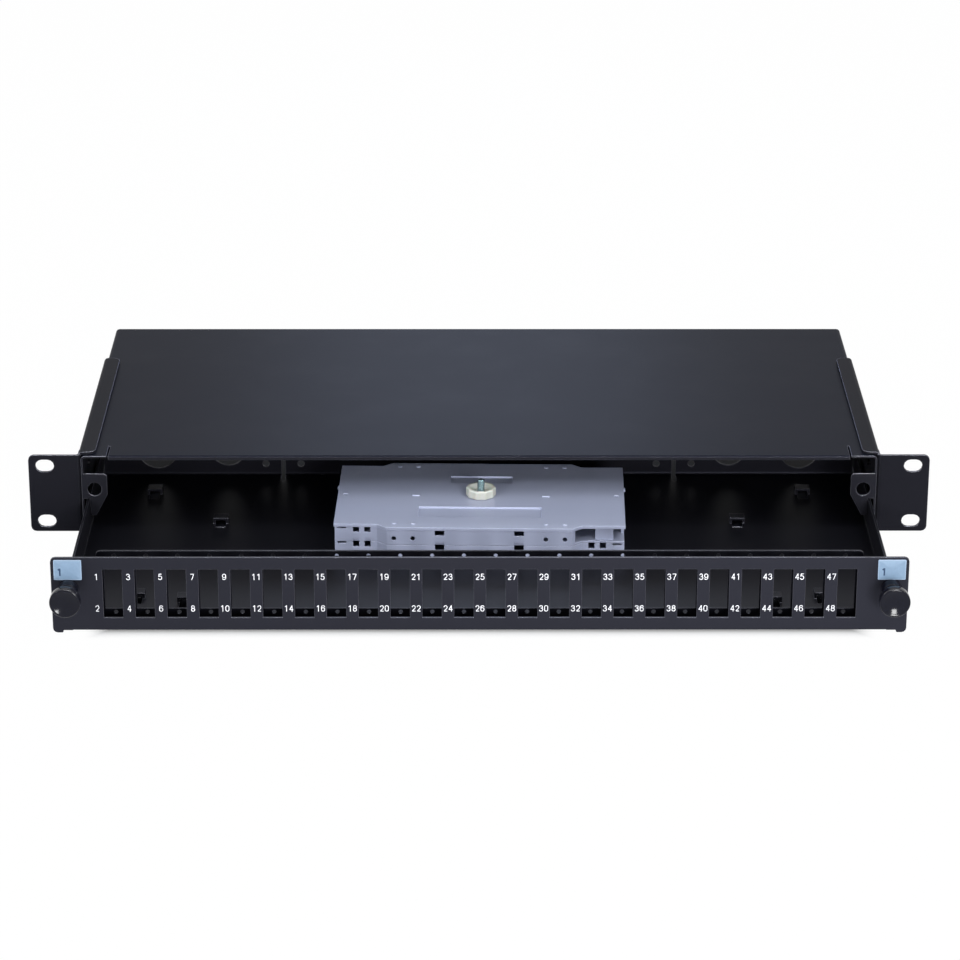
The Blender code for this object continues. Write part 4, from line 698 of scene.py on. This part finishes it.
def screw_mesh(fastener, centre, axis, radius, length):
    """A countersunk screw. Point (s, a) lies on the profile turned by a, and the top sinks by the drive's depth
    wherever the distance across either arm and along it are both inside the arm."""
    steps = 72
    head = np.linspace(0.0, radius - 0.05 * MM, 18)
    top = np.stack((head, np.zeros_like(head)), axis=-1)
    corners = [(radius - 0.05 * MM, 0), (radius, -0.05 * MM), (fastener.shank_radius, -fastener.head_depth)]
    corners += [(fastener.shank_radius, -length + 0.2 * MM), (fastener.shank_radius - 0.2 * MM, -length), (0, -length)]
    profile = np.concatenate((top[:-1], np.asarray(corners)))
    angle = np.linspace(0.0, 2 * math.pi, steps, endpoint=False)[None, :]
    reach, height = profile[:, :1], profile[:, 1:] + 0.0 * angle
    along, across = np.abs(reach * np.cos(angle)), np.abs(reach * np.sin(angle))
    narrow = fastener.drive_width / 2

    def arm(length_way, width_way):
        inside = np.clip((narrow - width_way) / (0.12 * MM) + 0.5, 0.0, 1.0)
        return inside * np.clip((fastener.drive_reach - length_way) / (0.5 * MM), 0.0, 1.0)

    sunk = np.maximum(arm(along, across), arm(across, along))
    height = height - np.where(profile[:, 1:] >= -1e-9, sunk * fastener.drive_depth, 0.0)
    points = around(centre, axis, reach, angle, height)
    return closed(mesh_from("screw", points.reshape(-1, 3), grid_quads(len(profile), steps)))


class FIBERBOX_OT_make_screws(bpy.types.Operator):
    """Makes the countersunk screws of the housing"""

    bl_idname = "fiberbox.make_screws"
    bl_label = "Make housing screws"

    def execute(self, context):
        fastener = context.scene.fiberbox_fastener
        metal = turned_metal("screw_black", fastener.screw_colour, 0.38, 0.12 * MM, "X")
        for label, side in SIDES:
            for name in sorted(node for node in frame["nodes"] if node.startswith(f"housing_screw_{label}_")):
                low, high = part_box(name)
                centre = (high.x if side > 0 else low.x, (low.y + high.y) / 2, (low.z + high.z) / 2)
                axis = "X" if side > 0 else "-X"
                mesh = screw_mesh(fastener, centre, axis, (high.z - low.z) / 2, high.x - low.x)
                place_piece(name.replace("housing_screw", "cross_screw"), mesh, metal, "housing", [name])
        return {"FINISHED"}


def stud_mesh(fastener, centre, foot, top, flange_radius):
    """A threaded stud. Point (z, a) has the outer radius less the thread's depth times a triangle wave of
    z / pitch - a / turn, and the wave fades to nothing at the plain foot and at the chamfered tip."""
    steps = 48
    pitch = fastener.thread_pitch
    neck = foot + fastener.stud_flange
    thread = np.arange(neck + pitch, top - 0.5 * MM, pitch / 8)
    height = np.concatenate(([neck, neck + 0.5 * pitch], thread, [top - 0.35 * MM, top]))[:, None]
    angle = np.linspace(0.0, 2 * math.pi, steps, endpoint=False)[None, :]
    phase = (height / pitch - angle / (2 * math.pi)) % 1.0
    wave = 1.0 - np.abs(2.0 * phase - 1.0)
    fade = np.clip((height - neck) / pitch, 0.0, 1.0) * np.clip((top - height) / (0.6 * MM), 0.0, 1.0)
    radius = fastener.stud_radius - fastener.thread_depth * wave * fade
    radius = radius - 0.35 * MM * np.clip(1.0 - (top - height) / (0.35 * MM), 0.0, 1.0)
    low_radius = np.array([0.0, flange_radius, flange_radius, fastener.stud_radius])[:, None] + 0.0 * angle
    low_height = np.array([foot, foot, foot + 0.8 * fastener.stud_flange, neck - 0.02 * MM])[:, None]
    radius = np.concatenate((low_radius, radius, 0.0 * angle))
    height = np.concatenate((low_height, height, [[top]]))
    points = around(centre, "Z", radius, angle, height)
    return closed(mesh_from("stud", points.reshape(-1, 3), grid_quads(len(radius), steps)), 60.0)


def nut_mesh(fastener, centre, foot, radius, height, hole):
    """A lobed ring with a dish. Point (s, a) takes its radius from the profile less the lobes' depth times
    (1 - cos(lobes a)) / 2, which fades from the outer wall to the dish."""
    steps = 16 * fastener.nut_lobes
    dish, depth = fastener.nut_dish_radius, fastener.nut_dish_depth
    corners = [(radius, 0), (radius, height), (dish, height), (dish * 0.62, height - depth), (hole, height - depth), (hole, 0)]
    rounding = fastener.nut_round
    profile = filleted(corners, [rounding * 0.6, rounding, rounding * 0.6, rounding, 0, 0], loop=True)
    angle = np.linspace(0.0, 2 * math.pi, steps, endpoint=False)[None, :]
    reach = profile[:, :1]
    share = np.clip((reach - dish) / (radius - dish - rounding), 0.0, 1.0)
    reach = reach - share * fastener.nut_lobe_depth * (1 - np.cos(fastener.nut_lobes * angle)) / 2
    points = around(centre, "Z", reach, angle, foot + profile[:, 1:])
    return closed(mesh_from("nut", points.reshape(-1, 3), grid_quads(len(profile), steps, wrap_rows=True)), 50.0)


class FIBERBOX_OT_make_stack_fasteners(bpy.types.Operator):
    """Makes the threaded stud and the thumb nut that hold the splice trays"""

    bl_idname = "fiberbox.make_stack_fasteners"
    bl_label = "Make stud and nut"

    def execute(self, context):
        fastener = context.scene.fiberbox_fastener
        low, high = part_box("tray_stud")
        centre = ((low.x + high.x) / 2, (low.y + high.y) / 2, 0.0)
        zinc = turned_metal("stud_zinc", fastener.stud_colour, 0.24, 0.7 * MM, "Z")
        stud = stud_mesh(fastener, centre, low.z, high.z, (high.x - low.x) / 2)
        place_piece("threaded_stud", stud, zinc, "drawer", ["tray_stud"])
        low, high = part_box("tray_nut")
        nylon = moulded("nut_nylon", fastener.nut_colour, 0.42, 0.3 * MM, 0.01 * MM, 0.08, Subsurface_Weight=0.15)
        hole = fastener.stud_radius + 0.15 * MM
        nut = nut_mesh(fastener, centre, low.z, (high.x - low.x) / 2, high.z - low.z, hole)
        place_piece("thumb_nut", nut, nylon, "tray_nut", ["tray_nut"])
        return {"FINISHED"}


NINE_TURNED = [
    ([(0.06, 0.06), (0.54, 0.06), (0.54, 0.62), (0.06, 0.62)], [0.235] * 4, True),
    ([(0.06, 0.35), (0.06, 0.94), (0.52, 0.94), (0.52, 0.75)], [0, 0.26, 0.18, 0], False),
]

# Each stroke of a digit one high: its corners, the radius at each, and whether it closes
STROKES = {
    "0": [([(0.06, 0.06), (0.54, 0.06), (0.54, 0.94), (0.06, 0.94)], [0.235] * 4, True)],
    "1": [([(0.36, 0.0), (0.36, 1.0)], [0, 0], False), ([(0.13, 0.75), (0.34, 0.93)], [0, 0], False)],
    "2": [
        ([(0.08, 0.70), (0.08, 0.94), (0.53, 0.94), (0.53, 0.56), (0.08, 0.06), (0.56, 0.06)], [0, 0.22, 0.22, 0.25, 0.03, 0], False)
    ],
    "3": [
        ([(0.08, 0.73), (0.08, 0.94), (0.50, 0.94), (0.50, 0.54), (0.24, 0.54)], [0, 0.20, 0.20, 0.19, 0], False),
        ([(0.24, 0.54), (0.54, 0.54), (0.54, 0.06), (0.06, 0.06), (0.06, 0.28)], [0, 0.23, 0.235, 0.21, 0], False),
    ],
    "4": [
        ([(0.43, 0.0), (0.43, 1.0)], [0, 0], False),
        ([(0.40, 0.92), (0.07, 0.31), (0.60, 0.31)], [0, 0.02, 0], False),
    ],
    "5": [
        ([(0.52, 0.94), (0.16, 0.94), (0.10, 0.50)], [0, 0, 0], False),
        ([(0.10, 0.52), (0.20, 0.63), (0.54, 0.63), (0.54, 0.06), (0.06, 0.06), (0.06, 0.27)], [0, 0.1, 0.25, 0.25, 0.2, 0], False),
    ],
    "6": NINE_TURNED,
    "7": [([(0.05, 0.94), (0.55, 0.94), (0.22, 0.0)], [0, 0.02, 0], False)],
    "8": [
        ([(0.09, 0.54), (0.51, 0.54), (0.51, 0.94), (0.09, 0.94)], [0.195] * 4, True),
        ([(0.06, 0.06), (0.54, 0.06), (0.54, 0.53), (0.06, 0.53)], [0.23] * 4, True),
    ],
    "9": [([(0.60 - x, 1.0 - z) for x, z in corners], radii, loop) for corners, radii, loop in NINE_TURNED],
}


def stroke_mesh(path, loop, half, low, high):
    """A flat stroke that faces the front. Point (s, c) is the path's point moved by half the width along the
    corner's bisector, to one side or the other, at the stroke's front or back."""
    ahead = np.roll(path, -1, axis=0) - path
    ahead /= np.linalg.norm(ahead, axis=1, keepdims=True)
    behind = np.roll(ahead, 1, axis=0)
    if not loop:
        ahead[-1] = behind[-1]
        behind[0] = ahead[0]
    normal = np.stack((ahead[:, 1] + behind[:, 1], -ahead[:, 0] - behind[:, 0]), axis=-1)
    length = np.linalg.norm(normal, axis=1, keepdims=True)
    normal = normal / length * np.minimum(2.0 / length, 1.6)
    side = np.array((-half, half, half, -half))
    flat = path[:, None, :] + normal[:, None, :] * side[None, :, None]
    depth = np.broadcast_to(np.array((low, low, high, high)), flat.shape[:2])
    points = np.stack((flat[..., 0], depth, flat[..., 1]), axis=-1)
    return closed(mesh_from("stroke", points.reshape(-1, 3), grid_quads(len(path), 4, wrap_rows=loop)))


def number_meshes(mark, words, height, stroke, x, base, y, align=0.5):
    """The strokes of a printed number, with its base line at a height and the given share of its width left of x.
    Strokes that cross differ a little in thickness, so that their faces don't coincide."""
    start = x - align * height * (mark.digit_width + mark.digit_advance * (len(words) - 1))
    meshes = []
    for place, digit in enumerate(words):
        corner = np.array((start + place * mark.digit_advance * height, base))
        for layer, (corners, radii, loop) in enumerate(STROKES[digit]):
            path = corner + filleted(corners, radii, loop, steps=5) * height
            front = y - mark.print_thickness * (1.0 - 0.15 * layer)
            meshes.append(stroke_mesh(path, loop, stroke * height / 2, front, y))
    return meshes


def ink(name, colour, roughness):
    """Screen printed ink: a little uneven in tone and cover."""
    material, tree, shader, where = new_finish(name)
    grain = noise(tree, where, 3500.0, 3.0, 0.6)
    cover = noise(tree, where, 700.0, 2.0, 0.5)
    base = mixed(tree, ramp(tree, cover, 0.35, 0.7), colour, [value * 0.88 for value in colour])
    rough = maths(tree, "MULTIPLY_ADD", grain, 0.12, roughness - 0.06)
    edges = effect(tree, "soft_edge", {"Radius": 0.03 * MM})
    feed(tree, shader, base, rough, grain, 0.004 * MM, edges["Normal"])
    return material


def port_middles():
    """The X of the middle of each port, from the packed record's openings."""
    openings = frame["record"]["physics"]["openings"]
    ports = sorted((item for item in openings if item["name"].startswith("port_")), key=lambda item: item["name"])
    return [(item["box_m"][0][0] + item["box_m"][1][0]) / 2 for item in ports]


class FIBERBOX_OT_print_numbers(bpy.types.Operator):
    """Prints the port numbers on the front panel"""

    bl_idname = "fiberbox.print_numbers"
    bl_label = "Print port numbers"

    def execute(self, context):
        mark = context.scene.fiberbox_mark
        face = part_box("front_panel")[0].y
        prints = []
        for index, middle in enumerate(port_middles()):
            for number, base in ((2 * index + 1, mark.upper_base), (2 * index + 2, mark.lower_base)):
                x = middle - mark.number_offset
                prints += number_meshes(mark, str(number), mark.digit_height, mark.digit_stroke, x, base, face)
        white = ink("number_print", mark.print_colour, 0.5)
        place_piece("port_numbers", merged_mesh("port_numbers", prints), white, "drawer")
        return {"FINISHED"}


def card_mesh(low, high, corner, edge):
    """A thin card facing the front. Point (s, t) lies on the rounded outline drawn in towards the middle by the
    row's inset, at the row's depth: back face, side, softened front edge, front face."""
    centre = (low + high) / 2
    half = np.array(((high.x - low.x) / 2, (high.z - low.z) / 2))
    corners = np.array(((1, 1), (-1, 1), (-1, -1), (1, -1))) * half
    outline = filleted(corners, [corner] * 4, loop=True)
    inset = np.array((half.min(), 0.0, 0.0, 0.3 * edge, edge, half.min()))
    depth = np.array((high.y, high.y, low.y + edge, low.y + 0.3 * edge, low.y, low.y))
    shrink = 1.0 - inset[:, None] / half[None, :]
    shrink[(0, -1), :] = 0.0
    flat = outline[None, :, :] * shrink[:, None, :]
    points = np.stack((centre.x + flat[..., 0], np.broadcast_to(depth[:, None], flat.shape[:2]), centre.z + flat[..., 1]), -1)
    return closed(mesh_from("card", points.reshape(-1, 3), grid_quads(len(inset), len(outline))))


def label_paper(mark, low, high):
    """Printed label: a paler border, a field, and a thin line between them, measured from the label's middle."""
    material, tree, shader, where = new_finish("label_card")
    centre = (low + high) / 2
    parts = add_node(tree, "ShaderNodeSeparateXYZ", {"Vector": where})
    x = maths(tree, "ABSOLUTE", maths(tree, "SUBTRACT", maths(tree, "ABSOLUTE", parts.outputs["X"]), abs(centre.x)))
    z = maths(tree, "ABSOLUTE", maths(tree, "SUBTRACT", parts.outputs["Z"], centre.z))
    from_side = maths(tree, "SUBTRACT", (high.x - low.x) / 2, x)
    from_end = maths(tree, "SUBTRACT", (high.z - low.z) / 2, z)
    nearest = maths(tree, "MINIMUM", from_side, from_end)
    border = ramp(tree, nearest, mark.label_border + 0.1 * MM, mark.label_border)
    line = maths(tree, "COMPARE", nearest, mark.label_border, 0.12 * MM)
    fibre = noise(tree, where, 900.0, 3.0, 0.6)
    field = mixed(tree, ramp(tree, fibre, 0.3, 0.7), mark.label_colour, [value * 0.93 for value in mark.label_colour])
    base = mixed(tree, border, field, mark.border_colour)
    base = mixed(tree, maths(tree, "MULTIPLY", line, 0.35), base, [value * 0.7 for value in mark.label_colour])
    rough = maths(tree, "MULTIPLY_ADD", fibre, 0.1, 0.5)
    edges = effect(tree, "soft_edge", {"Radius": 0.1 * MM})
    feed(tree, shader, base, rough, fibre, 0.006 * MM, edges["Normal"])
    return material


class FIBERBOX_OT_make_labels(bpy.types.Operator):
    """Makes the two label plates, each with a plain number"""

    bl_idname = "fiberbox.make_labels"
    bl_label = "Make labels"

    def execute(self, context):
        mark = context.scene.fiberbox_mark
        dark = ink("label_ink", mark.ink_colour, 0.5)
        paper = label_paper(mark, *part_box("label_plate_right"))
        for label, _ in SIDES:
            node = f"label_plate_{label}"
            low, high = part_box(node)
            card = card_mesh(low, high, mark.label_corner, 0.1 * MM)
            place_piece(f"label_card_{label}", card, paper, "drawer", [node])
            x, base = low.x + 1.7 * MM, low.z + 2.3 * MM
            strokes = number_meshes(mark, "1", mark.label_digit, mark.label_stroke, x, base, low.y, 0.0)
            digit = merged_mesh("digit", strokes)
            place_piece(f"label_digit_{label}", digit, dark, "drawer")
        return {"FINISHED"}


def aim(place, target):
    """The matrix of a lamp or camera at a place that looks at a target."""
    direction = Vector(target) - Vector(place)
    return Matrix.Translation(Vector(place)) @ direction.to_track_quat("-Z", "Y").to_matrix().to_4x4()


def soft_box(name, place, target, size, power, colour=(1.0, 1.0, 1.0)):
    """A rectangular lamp that looks at the target, out of the camera's sight."""
    lamp = bpy.data.lights.new(name, "AREA")
    lamp.shape = "RECTANGLE"
    lamp.size, lamp.size_y = size
    lamp.energy = power
    lamp.color = colour
    holder = bpy.data.objects.new(name, lamp)
    bpy.context.scene.collection.objects.link(holder)
    holder.matrix_world = aim(place, target)
    holder.visible_camera = False
    return holder


def seen_directly(tree):
    """1 for a camera, mirror or glass ray, and 0 for the light that falls on the object."""
    path = tree.nodes.new("ShaderNodeLightPath")
    glossy = maths(tree, "MAXIMUM", path.outputs["Is Camera Ray"], path.outputs["Is Glossy Ray"])
    return maths(tree, "MAXIMUM", glossy, path.outputs["Is Transmission Ray"])


def pale_floor(size, shadow_width):
    """A level floor, white to the eye, that still takes the object's shadow. Where the drawer covers it closely, inside
    the object's footprint, it carries a painted shadow, near black, so that no white shows through the slots of the
    drawer's floor."""
    points = np.array(((-1, -1, 0), (1, -1, 0), (1, 1, 0), (-1, 1, 0))) * (size / 2, size / 2, 0)
    floor = bpy.data.objects.new("studio_floor", mesh_from("studio_floor", points, np.array([[0, 1, 2, 3]])))
    bpy.context.scene.collection.objects.link(floor)
    material, tree, shader, where = new_finish("studio_floor")
    tree.nodes.remove(shader)
    output = tree.nodes["Material Output"]
    haze = noise(tree, where, 3.0, 2.0)
    glow = add_node(tree, "ShaderNodeEmission", {"Color": (1.0, 1.0, 1.0, 1.0), "Strength": 1.0})
    parts = add_node(tree, "ShaderNodeSeparateXYZ", {"Vector": where})
    low, high = CAD_BOUNDS
    beside = maths(tree, "SUBTRACT", maths(tree, "ABSOLUTE", parts.outputs["X"]), shadow_width)
    middle, half = (low[1] + high[1]) / 2, (high[1] - low[1]) / 2
    along = maths(tree, "ABSOLUTE", maths(tree, "SUBTRACT", parts.outputs["Y"], middle))
    outside = maths(tree, "MAXIMUM", beside, maths(tree, "SUBTRACT", along, half))
    # painted shadow: the mask is low where something covers the floor closely inside the object's footprint
    cover = add_node(tree, "ShaderNodeAmbientOcclusion", {"Distance": 10 * MM}, samples=6)
    bare = ramp(tree, cover.outputs["AO"], 0.86, 0.96)
    clear = maths(tree, "MAXIMUM", bare, ramp(tree, outside, -30 * MM, -10 * MM))
    # painted shadow: near black colour mixed in where the mask is low
    colour = mixed(tree, clear, (0.01, 0.01, 0.012), mixed(tree, haze, (0.86, 0.86, 0.87), (0.90, 0.90, 0.91)))
    matte = add_node(tree, "ShaderNodeBsdfDiffuse", {"Color": colour})
    share = maths(tree, "MULTIPLY", maths(tree, "MULTIPLY", seen_directly(tree), 0.99), clear)
    mix = add_node(tree, "ShaderNodeMixShader", {0: share, 1: matte.outputs[0], 2: glow.outputs[0]})
    tree.links.new(mix.outputs[0], output.inputs["Surface"])
    floor.data.materials.append(material)


def studio_sky(strength):
    """White where it is seen directly or in a reflection, and an even soft light otherwise."""
    world = bpy.data.worlds.new("studio_sky")
    world.use_nodes = True
    tree = world.node_tree
    background = tree.nodes["Background"]
    seen = seen_directly(tree)
    level = add_node(tree, "ShaderNodeMapRange", {"Value": seen, "To Min": strength, "To Max": 1.0})
    tree.links.new(level.outputs["Result"], background.inputs["Strength"])
    tree.links.new(mixed(tree, seen, (0.78, 0.90, 1.0), (1.0, 1.0, 1.0)), background.inputs["Color"])
    bpy.context.scene.world = world


class FIBERBOX_OT_set_stage(bpy.types.Operator):
    """Sets the floor, the lamps, the sky and the camera"""

    bl_idname = "fiberbox.set_stage"
    bl_label = "Set stage"

    def execute(self, context):
        stage = context.scene.fiberbox_stage
        pale_floor(stage.floor_size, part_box("drawer_tray")[1].x)
        studio_sky(stage.sky_strength)
        target = (0.0, -0.05, 0.02)
        key = soft_box("key_box", (-0.9, -1.5, 0.50), target, (0.45, 0.45), stage.key_power)
        front = soft_box("front_box", (0.55, -0.95, 1.0), target, (0.4, 0.4), stage.front_power)
        for matte in (key, front):
            matte.visible_glossy = False
        soft_box("fill_box", (0.42, -1.55, 0.28), target, (0.40, 0.40), stage.fill_power)
        soft_box("rear_box", (0.0, 0.95, 0.42), (0.0, 0.08, 0.04), (0.3, 0.3), stage.rear_power, (0.60, 0.72, 1.0))
        for label, side in SIDES:
            place = (side * 0.85, -0.15, 1.15)
            soft_box(f"top_box_{label}", place, target, (0.9, 0.9), stage.top_power)
            strip = soft_box(f"strip_{label}", place, target, (0.25, 1.0), stage.strip_power)
            strip.visible_diffuse = False
        bar = soft_box("strip_front", (0.25, -0.72, 1.45), target, (1.4, 0.22), stage.strip_power)
        bar.visible_diffuse = False
        camera = bpy.data.cameras.new("photo_camera")
        camera.lens = stage.lens
        camera.sensor_width = 36.0
        camera.clip_end = 50.0
        holder = bpy.data.objects.new("photo_camera", camera)
        context.scene.collection.objects.link(holder)
        tilt, pan = stage.tilt, stage.pan
        forward = Vector((math.sin(pan) * math.cos(tilt), math.cos(pan) * math.cos(tilt), -math.sin(tilt)))
        right = forward.cross(Vector((0, 0, 1))).normalized()
        turn = Matrix((right, right.cross(forward), -forward)).transposed().to_4x4()
        holder.matrix_world = Matrix.Translation(stage.camera_place) @ turn @ Matrix.Rotation(stage.roll, 4, "Z")
        context.scene.camera = holder
        context.scene.view_settings.view_transform = "Standard"
        return {"FINISHED"}


OPERATORS = (
    FIBERBOX_OT_set_stage,
    FIBERBOX_OT_coat_housing,
    FIBERBOX_OT_coat_drawer,
    FIBERBOX_OT_mould_trays,
    FIBERBOX_OT_make_latches,
    FIBERBOX_OT_make_screws,
    FIBERBOX_OT_make_stack_fasteners,
    FIBERBOX_OT_make_labels,
    FIBERBOX_OT_print_numbers,
)


class FIBERBOX_PT_finishes(bpy.types.Panel):
    """Lists the settings and the steps of the fibre distribution box"""

    bl_label = "Fibre distribution box"
    bl_idname = "FIBERBOX_PT_finishes"
    bl_space_type = "VIEW_3D"
    bl_region_type = "UI"
    bl_category = "Fibre box"

    def draw(self, context):
        for key, group in SETTINGS.items():
            box = self.layout.box()
            box.label(text=group.__doc__)
            for name in group.__annotations__:
                box.prop(getattr(context.scene, key), name)
        for step in OPERATORS:
            self.layout.operator(step.bl_idname)


CLASSES = (*SETTINGS.values(), *OPERATORS, FIBERBOX_PT_finishes)


def register():
    """Registers the settings, the operators and the panel."""
    for item in CLASSES:
        bpy.utils.register_class(item)
    for key, group in SETTINGS.items():
        setattr(bpy.types.Scene, key, PointerProperty(type=group))


def unregister():
    """Takes the settings, the operators and the panel away again."""
    for key in SETTINGS:
        delattr(bpy.types.Scene, key)
    for item in reversed(CLASSES):
        bpy.utils.unregister_class(item)


def main():
    register()
    bpy.ops.fiberbox.set_stage()
    bpy.ops.fiberbox.coat_housing()
    bpy.ops.fiberbox.coat_drawer()
    bpy.ops.fiberbox.mould_trays()
    bpy.ops.fiberbox.make_latches()
    bpy.ops.fiberbox.make_screws()
    bpy.ops.fiberbox.make_stack_fasteners()
    bpy.ops.fiberbox.make_labels()
    bpy.ops.fiberbox.print_numbers()


if __name__ == "__main__":
    main()
